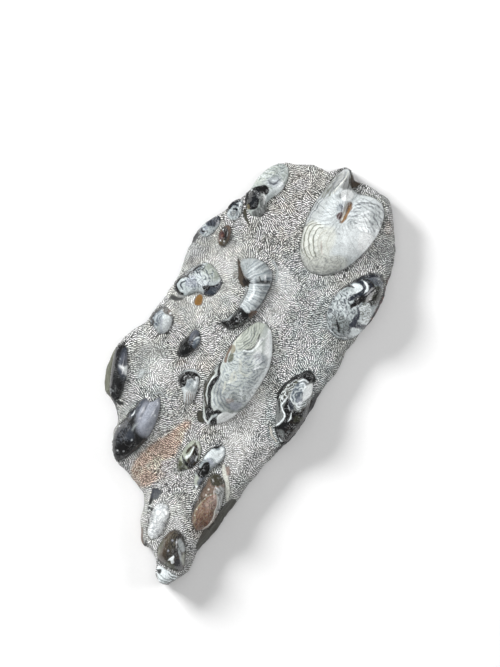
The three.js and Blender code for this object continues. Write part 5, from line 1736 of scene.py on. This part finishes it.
@dataclass
class StonePlate:
    """The limestone: a carved face with room for the shells, a broken flank and a sawn back."""

    node: CadNode
    nodes: dict[str, CadNode]

    LOW = (-114.0, -238.0)
    HIGH = (114.0, 238.0)
    SPACING = 0.86  # between the points of the face
    GRID = 1.5  # step of the grids on which the face and its strokes are kept
    LOWEST_FACE = 22  # what lies lower is a seat's floor or the flank
    FLANK_ROWS = 14
    LEVELS = (0.2, 4.0, 10.02, 19.9)  # heights at which the flank is measured
    RIM_LEVEL = 30.0  # where the flank has drawn in fully
    PIT_DEPTH = 0.16
    GROUND_WAVE = 0.5
    READ_WIDTH = 0.5  # of the rims beside which the face's height isn't read
    FILL_BLUR, FACE_BLUR = 9.0, 2.6  # of the heights under the shells and of all, in grid steps
    SHELL_PULL, RIM_PULL = 15, 9  # distances over which shells and the rim turn the strokes
    SEAT_CLEARANCE = (0.12, -0.3)  # of the edge of a seat at the face and at its floor
    SEAT_STEP, SEAT_DROP = 5.0, 0.3  # between the points of a seat's floor, and under the shell
    FLANK_WAVE = 1.3
    FLANK_SHRINK = 0.4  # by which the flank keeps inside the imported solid
    BEDDING = 6.5  # height of the ledges
    FLECK = np.array([0.05, 0.0, -0.05])  # how far the stone's hue strays, in red, green and blue
    CAST = np.array([1.045, 1.06, 1.03])  # of the strokes

    def __post_init__(self) -> None:
        """Measures the flank, the rim, the shells' outlines and the face."""
        sections = [spline(self.node.section(z), True, 2.0) for z in self.LEVELS]
        self.belly = spline(self.node.section(self.LEVELS[2]), True, self.SPACING)
        self.normals = inward_normals(self.belly)
        insets = [-inside_distance(loop, self.belly) for loop in sections]
        insets[2] = np.zeros(len(self.belly))
        self.insets = np.clip(np.stack(insets), 0, None)
        slope = (self.RIM_LEVEL - self.LEVELS[2]) / (self.LEVELS[3] - self.LEVELS[2])
        spread = np.exp(-0.5 * (np.arange(-9, 10) / 4.0) ** 2)
        self.flare = self.ring_smoothed(self.insets[3] * slope, spread / spread.sum())
        self.rim = self.belly + self.normals * self.flare[:, None]
        self.shells = {name: Ammonite.from_node(name, node) for name, node in self.nodes.items()}
        self.read_face()
        self.lay_strokes()

    @staticmethod
    def ring_smoothed(values: Array, kernel: Array) -> Array:
        """A closed row of values, smoothed by a kernel.

        Args:
            values: the row.
            kernel: odd in length, with a sum of 1.

        Returns:
            The smoothed row.
        """
        half = len(kernel) // 2
        padded = np.r_[values[-half:], values, values[:half]]
        return np.convolve(padded, kernel, mode="valid")

    def read_face(self) -> None:
        """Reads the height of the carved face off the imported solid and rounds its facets."""
        at, shape = Raster.grid(self.LOW, self.HIGH, self.GRID)
        tree = BVHTree.FromPolygons(self.node.points.tolist(), self.node.triangles.tolist())
        down = Vector((0, 0, -1))
        hits = [tree.ray_cast(Vector((x, y, SKY)), down)[0] for x, y in at.tolist()]
        height = np.array([0.0 if hit is None else hit.z for hit in hits])
        good = (height > self.LOWEST_FACE) & (inside_distance(self.rim, at) > self.READ_WIDTH)
        self.near = np.full(len(at), -99.0)
        for shell in self.shells.values():
            window = shell.window(at, 32)
            distance = inside_distance(shell.outline[::2], at[window])
            self.near[window] = np.maximum(self.near[window], distance)
        good &= self.near < -self.READ_WIDTH
        height, good = height.reshape(shape), good.reshape(shape).astype(float)
        filled = np.where(good > 0, height, blurred(height, good, self.FILL_BLUR))
        self.face = Raster(np.array(self.LOW), self.GRID, blurred(filled, 0.06 + good, self.FACE_BLUR))

    def lay_strokes(self) -> None:
        """Combs the face: strokes point away from the shells and the rim, and wander between."""
        at, shape = Raster.grid(self.LOW, self.HIGH, self.GRID)
        double = np.zeros((2, len(at)))
        for shell in self.shells.values():
            window = shell.window(at, 36)
            distance = np.full(len(at), -60.0)
            distance[window] = inside_distance(shell.outline[::2], at[window])
            weight = np.exp(-((np.minimum(distance, 0) / self.SHELL_PULL) ** 2)) * window
            self.lean(double, distance.reshape(shape), weight)
        edge = inside_distance(self.rim[::2], at)
        self.lean(double, edge.reshape(shape), 0.5 * np.exp(-((edge / self.RIM_PULL) ** 2)))
        swirl = math.pi * 2.2 * Noise(31, 20.0, 2)(at)
        double += 0.3 * np.stack([np.cos(swirl), np.sin(swirl)])
        open_field = np.clip((-self.near - 6) / 10, 0, 1)
        chop = Noise(33, 5.0, 2)(at) * (0.25 + 0.75 * open_field)
        turn = 0.5 * np.arctan2(double[1], double[0]) + chop
        self.turns = [
            Raster(np.array(self.LOW), self.GRID, blurred(part.reshape(shape), np.ones(shape), 1.0))
            for part in (np.cos(2 * turn), np.sin(2 * turn))
        ]

    def combing(self, at: Array, smooth: Array) -> Array:
        """Cosine and sine of twice the strokes' direction at points, mapped to 0..1, and smoothness."""
        return np.stack([0.5 + 0.5 * self.turns[0](at), 0.5 + 0.5 * self.turns[1](at), smooth], axis=1)

    @staticmethod
    def lean(double: Array, distance: Array, weight: Array) -> None:
        """Adds the direction in which a distance grows to doubled directions.

        Args:
            double: cosines and sines of twice the direction, changed in place.
            distance: a grid of distances.
            weight: how much this direction counts at each point.
        """
        gy, gx = np.gradient(distance)
        turn = 2 * np.arctan2(gy, gx).ravel()
        double += weight * np.stack([np.cos(turn), np.sin(turn)])

    def ground(self, at: Array) -> Array:
        """Height of the face at points, without the chisel's pits."""
        return self.face(at) + self.GROUND_WAVE * Noise(41, 16.0, 3)(at)

    def face_points(self) -> tuple[Array, Array, Array]:
        """The face's points, its triangles and which points are a seat's floor.

        A triangular lattice fills the rim outside the shells. Each seat has an edge at the face, an
        edge at its floor, and a wide lattice inside.

        Returns:
            The points in plan, the rim's first and in order, the triangles, and a mask.
        """
        row = self.SPACING * math.sqrt(3) / 2
        ys = np.arange(self.LOW[1], self.HIGH[1], row)
        xs = np.arange(self.LOW[0], self.HIGH[0], self.SPACING)
        gx, gy = np.meshgrid(xs, ys)
        gx = gx + (np.arange(len(ys))[:, None] % 2) * self.SPACING / 2
        lattice = np.stack([gx.ravel(), gy.ravel()], axis=1)
        lattice = lattice[inside_distance(self.rim[::3], lattice) > -2]
        lattice = lattice[inside_distance(self.rim, lattice) > 0.55 * self.SPACING]
        loops, floors = [self.rim], []
        for shell in self.shells.values():
            normals = inward_normals(shell.outline)
            upper, lower = (shell.outline - gap * normals for gap in self.SEAT_CLEARANCE)
            loops += [upper, lower[::2]]
            window = shell.window(lattice, 3)
            clear = np.full(len(lattice), -9.0)
            clear[window] = inside_distance(shell.outline, lattice[window])
            lattice = lattice[clear < -self.SEAT_CLEARANCE[0] - 0.5 * self.SPACING]
            low, high = shell.outline.min(0), shell.outline.max(0)
            wide, _ = Raster.grid(tuple(low), tuple(high), self.SEAT_STEP)
            floors.append(wide[inside_distance(shell.outline, wide) > 1.5])
        starts = np.cumsum([0] + [len(loop) for loop in loops])
        edges = np.concatenate([
            np.stack([np.arange(len(p)), (np.arange(len(p)) + 1) % len(p)], 1) + s
            for p, s in zip(loops, starts)
        ])
        plan = np.vstack(loops + floors + [lattice])
        corners = [Vector(p) for p in plan.tolist()]
        verts, _, faces, *_ = delaunay_2d_cdt(corners, edges.tolist(), [], 1, 1e-6, False)
        if len(verts) != len(plan):
            LOG.warning("the face's loops cross: %d points became %d", len(plan), len(verts))
        plan = np.array([tuple(v) for v in verts])
        triangles = np.array(faces)
        centres = plan[triangles].mean(1)
        triangles = triangles[inside_distance(self.rim, centres) > 0]
        buried = np.zeros(len(plan), bool)
        seats = np.zeros(len(plan))
        for shell in self.shells.values():
            window = shell.window(plan, 2)
            deep = np.zeros(len(plan), bool)
            deep[window] = inside_distance(shell.outline, plan[window]) > 0.05
            buried |= deep
            seats[deep] = shell.seat - self.SEAT_DROP
        height = np.where(buried, seats, self.ground(plan) + self.PIT_DEPTH * Noise(42, 2.2, 2)(plan))
        return np.column_stack([plan, height]), triangles, buried

    def flank_points(self, top: Array) -> Array:
        """Rows of points down the broken flank, from under the rim to the back.

        A point's inset from the belly line follows the measured levels, and broken stone adds
        FLANK_WAVE * noise(arc, height) with ledges that follow the bedding.

        Args:
            top: the rim's points.

        Returns:
            The rows, the highest first.
        """
        run = np.arange(len(self.belly)) * self.SPACING
        rows = []
        levels = np.r_[self.LEVELS, self.RIM_LEVEL]
        insets = np.vstack([self.insets, self.flare])
        for share in np.linspace(0, 1, self.FLANK_ROWS + 1)[1:]:
            z = top[:, 2] * (1 - share)
            place = np.clip(np.searchsorted(levels, z) - 1, 0, len(levels) - 2)
            part = np.clip((z - levels[place]) / (levels[place + 1] - levels[place]), 0, 1)
            columns = np.arange(len(z))
            inset = insets[place, columns] * (1 - part) + insets[place + 1, columns] * part
            spot = np.column_stack([run, 2.2 * z])
            ledge = 0.5 * np.abs(((z + 1.6 * Noise(52, 30.0, 2)(spot)) / self.BEDDING) % 1 - 0.5)
            chips = self.FLANK_WAVE * (Noise(51, 13.0, 4)(spot) * 0.75 + ledge)
            fade = min(1.0, 4 * share) * min(1.0, 6 * (1 - share) + 0.25)
            xy = self.belly + self.normals * (inset + self.FLANK_SHRINK + chips * fade)[:, None]
            rows.append(np.column_stack([xy, np.maximum(z, 0)]))
        return np.vstack(rows)

    @staticmethod
    def low_down(height: Array) -> Array:
        """How far heights belong to the foot of the flank, which is bare dark stone and painted shade: a step round 9
        mm.
        """
        return ramp((9 - height) / 6)

    def sheet(self) -> tuple[Sheet, int]:
        """The whole stone's mesh and the number of its faces that aren't the back.

        Returns:
            The mesh, its last face the back, and the number.
        """
        face, triangles, buried = self.face_points()
        count = len(self.rim)
        flank = self.flank_points(face[:count])
        points = np.clip(np.vstack([face, flank]), self.node.points.min(0), self.node.points.max(0))
        first = np.r_[np.arange(count), np.arange(len(flank)) + len(face)]
        sides = first[ring_faces(self.FLANK_ROWS + 1, count)[:, ::-1]]
        back = np.arange(len(points) - count, len(points))[::-1]
        faces = triangles.tolist() + sides.tolist()
        gap, mark = self.tones(points, len(face))
        smooth = ramp(1.6 * covered(STONE_SPOTS, points[:, :2]) - 0.6)
        smooth[len(face) :] += 0.2 * self.low_down(flank[:, 2]) + 0.3 * covered(BARE_FLANK, flank[:, :2])
        smooth[: len(face)][buried] = 1
        gap[: len(face)][buried] = UMBER.linear() * 0.5
        values = {"comb": self.combing(points[:, :2], smooth), "gap": gap, "mark": mark}
        return Sheet(points, faces + [back.tolist()], values), len(faces)

    def tones(self, points: Array, face_count: int) -> tuple[Array, Array]:
        """Colours of the gaps and of the strokes at each point.

        Args:
            points: the stone's points, those of the face first.
            face_count: how many are the face's.

        Returns:
            Both colours.
        """
        plan = points[:, :2]
        tint = painted(STONE.linear(), STONE_TINTS, plan)
        level = tint.mean(1, keepdims=True)
        fleck = Noise(63, 7.0, 4)(plan)[:, None] * self.FLECK
        hue = tint / level + fleck
        gap = level * hue * (0.2 + 0.12 * Noise(61, 16.0, 4)(plan))[:, None]
        mark = self.CAST * (0.5 + 1.9 * level) * (0.75 + 0.25 * hue)
        mark *= (1 + 0.24 * Noise(62, 11.0, 4)(plan))[:, None]
        gap += 0.13 * covered(BRIGHT_STONE, plan)[:, None] * mark
        dull = 0.36 * covered(DULL_STONE, plan)[:, None]
        middle = 0.45 * gap + 0.4 * mark
        gap, mark = (colour + dull * (middle - colour) for colour in (gap, mark))
        gap, mark = (painted(colour, STONE_SPOTS, plan) for colour in (gap, mark))
        # The flank's rock: near-black stone, darkened further as painted shade.
        rock = PITCH.linear() * (1 + 0.8 * Noise(64, 3.0, 4)(plan))[:, None]
        rock = np.maximum(painted(rock, FLANK_TONES, plan), 0.01)
        # The foot of the flank, below about 9 mm, takes the rock's tone: bare stone and painted shade.
        bare_and_shaded = np.maximum(self.low_down(points[:, 2]), covered(BARE_FLANK, plan))
        bare_and_shaded = np.where(np.arange(len(plan)) < face_count, 0, bare_and_shaded)[:, None]
        return gap + bare_and_shaded * (rock - gap), mark + bare_and_shaded * (0.4 * mark + 0.4 * rock - mark)

    def build(self) -> bpy.types.Object:
        """Makes the stone's piece and hands it to the frame.

        Returns:
            The piece.
        """
        sheet, upper = self.sheet()
        piece = sheet.piece("carved_stone")
        for finish in (CarvedLimestone(), SawnBack()):
            piece.data.materials.append(finish.material())
        for face in piece.data.polygons[upper:]:
            face.material_index, face.use_smooth = 1, False
        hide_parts("matrix")
        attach(piece, BODY)
        return piece


# ------------------------------------------------------------------------------ studio


@dataclass(frozen=True)
class SoftBox:
    """A square soft box that faces the plate."""

    name: str
    side: Point  # level direction from the plate to it: right and up in the picture
    rise: float  # its height over the floor as an angle, in degrees
    away: float
    size: float
    watts: float
    glossy: bool = False  # whether it shows in polished surfaces

    def build(self, aim: Vector, towards: Vector) -> None:
        """Hangs the box up.

        Args:
            aim: what it faces, in millimetres.
            towards: the level direction from there to it.
        """
        light = bpy.data.lights.new(self.name, "AREA")
        light.shape = "SQUARE"
        light.size = self.size * MM
        light.energy = self.watts
        made = bpy.data.objects.new(self.name, light)
        rise = math.radians(self.rise)
        offset = towards * math.cos(rise) + Vector((0, 0, math.sin(rise)))
        made.location = aim * MM + offset * self.away * MM
        made.rotation_euler = offset.to_track_quat("Z", "Y").to_euler()
        made.visible_glossy = self.glossy
        bpy.context.scene.collection.objects.link(made)


@dataclass(frozen=True)
class Studio:
    """A white floor, three soft boxes, a pale sky and a camera that looks straight down."""

    frame_height: float = 667.0  # of floor that the picture's long side takes in
    distance: float = 3200.0  # of the camera from the plate's face
    plane: float = 26.0  # height at which the frame is measured
    turn: float = 30.0  # of the picture against the plate, in degrees
    centre: Point = (5.9, 33.7)
    aim_height: float = 20.0  # of the soft boxes
    sensor: float = 36.0
    sky: float = 0.15
    board: float = 3000.0  # half the side of the floor
    board_gap: float = 0.05  # under the plate
    boxes: tuple[SoftBox, ...] = (
        SoftBox("overhead_box", (0, 1), 89, 4200, 3000, 46),
        SoftBox("key_box", (-0.79, 0.61), 34, 2600, 900, 88),
        SoftBox("right_box", (1, 0.15), 42, 1500, 700, 8, True),
    )

    def direction(self, picture_right: float, picture_up: float) -> Vector:
        """A level direction in the plate's frame, given in the picture.

        Args:
            picture_right: its share to the right.
            picture_up: its share upwards.

        Returns:
            The unit direction.
        """
        turn = math.radians(self.turn)
        right = Vector((math.cos(turn), math.sin(turn), 0))
        up = Vector((-math.sin(turn), math.cos(turn), 0))
        return (right * picture_right + up * picture_up).normalized()

    def floor(self) -> None:
        """A wide floor of matt white board, with a fine grain."""
        g = Graph("white_board")
        tone = g.scaled((0.9, 0.9, 0.9), 0.98 + 0.04 * g.noise(3.0, 3.0))
        finish = g.surface(g.noise(1.5, 3.0), 0.02, {"Base Color": tone, "Roughness": 0.9})
        size, low = self.board * MM, -self.board_gap * MM
        corners = [(-size, -size, low), (size, -size, low), (size, size, low), (-size, size, low)]
        mesh = bpy.data.meshes.new("floor")
        mesh.from_pydata(corners, [], [(0, 1, 2, 3)])
        mesh.materials.append(finish)
        board = bpy.data.objects.new("floor", mesh)
        bpy.context.scene.collection.objects.link(board)

    def sky_light(self) -> None:
        """An even pale sky."""
        world = bpy.data.worlds.new("pale_sky")
        world.use_nodes = True
        background = world.node_tree.nodes["Background"].inputs
        background["Color"].default_value = (1.0, 1.0, 1.0, 1.0)
        background["Strength"].default_value = self.sky
        bpy.context.scene.world = world

    def camera(self) -> None:
        """The camera over the plate: lens / sensor = distance / frame height."""
        data = bpy.data.cameras.new("camera")
        data.sensor_width = self.sensor
        data.lens = self.sensor * self.distance / self.frame_height
        data.clip_end = 100.0
        made = bpy.data.objects.new("camera", data)
        made.location = Vector((*self.centre, self.plane + self.distance)) * MM
        made.rotation_euler = (0, 0, math.radians(self.turn))
        bpy.context.scene.collection.objects.link(made)
        bpy.context.scene.camera = made

    def build(self) -> None:
        """Sets the whole studio up."""
        self.camera()
        self.floor()
        self.sky_light()
        for box in self.boxes:
            box.build(Vector((self.centre[0], 0, self.aim_height)), self.direction(*box.side))
        bpy.context.scene.view_settings.view_transform = "Standard"


# ------------------------------------------------------------------------------ putting it together


def main() -> None:
    """Builds the stone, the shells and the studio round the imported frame."""
    logging.basicConfig(level=logging.INFO, format="%(name)s: %(message)s", stream=sys.stdout)
    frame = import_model()
    nodes = {name: CadNode(made) for name, made in frame["nodes"].items()}
    stone = StonePlate(nodes.pop("matrix"), nodes)
    LOG.info("read the frame: %d shells, rim of %d points", len(stone.shells), len(stone.rim))
    piece = stone.build()
    LOG.info("%s: %d faces", piece.name, len(piece.data.polygons))
    finishes = {
        Slot.PALE: PolishedShell("pale_calcite", 0.15, 0.4, 0.3, 0.34).material(),
        Slot.MARBLED: PolishedShell("marbled_calcite", 0.15, 0.4, 0.4, 0.5).material(),
        Slot.DARK: PolishedShell("dark_calcite", 0.13, 0.45, 0.15, 0.45).material(),
        Slot.BROWN: PolishedShell("brown_calcite", 0.16, 0.35, 0.2, 0.6).material(),
    }
    for shell in stone.shells.values():
        piece = shell.build(stone, finishes[shell.dress.slot])
        LOG.info("%s: %d faces", piece.name, len(piece.data.polygons))
    Studio().build()


if __name__ == "__main__":
    main()
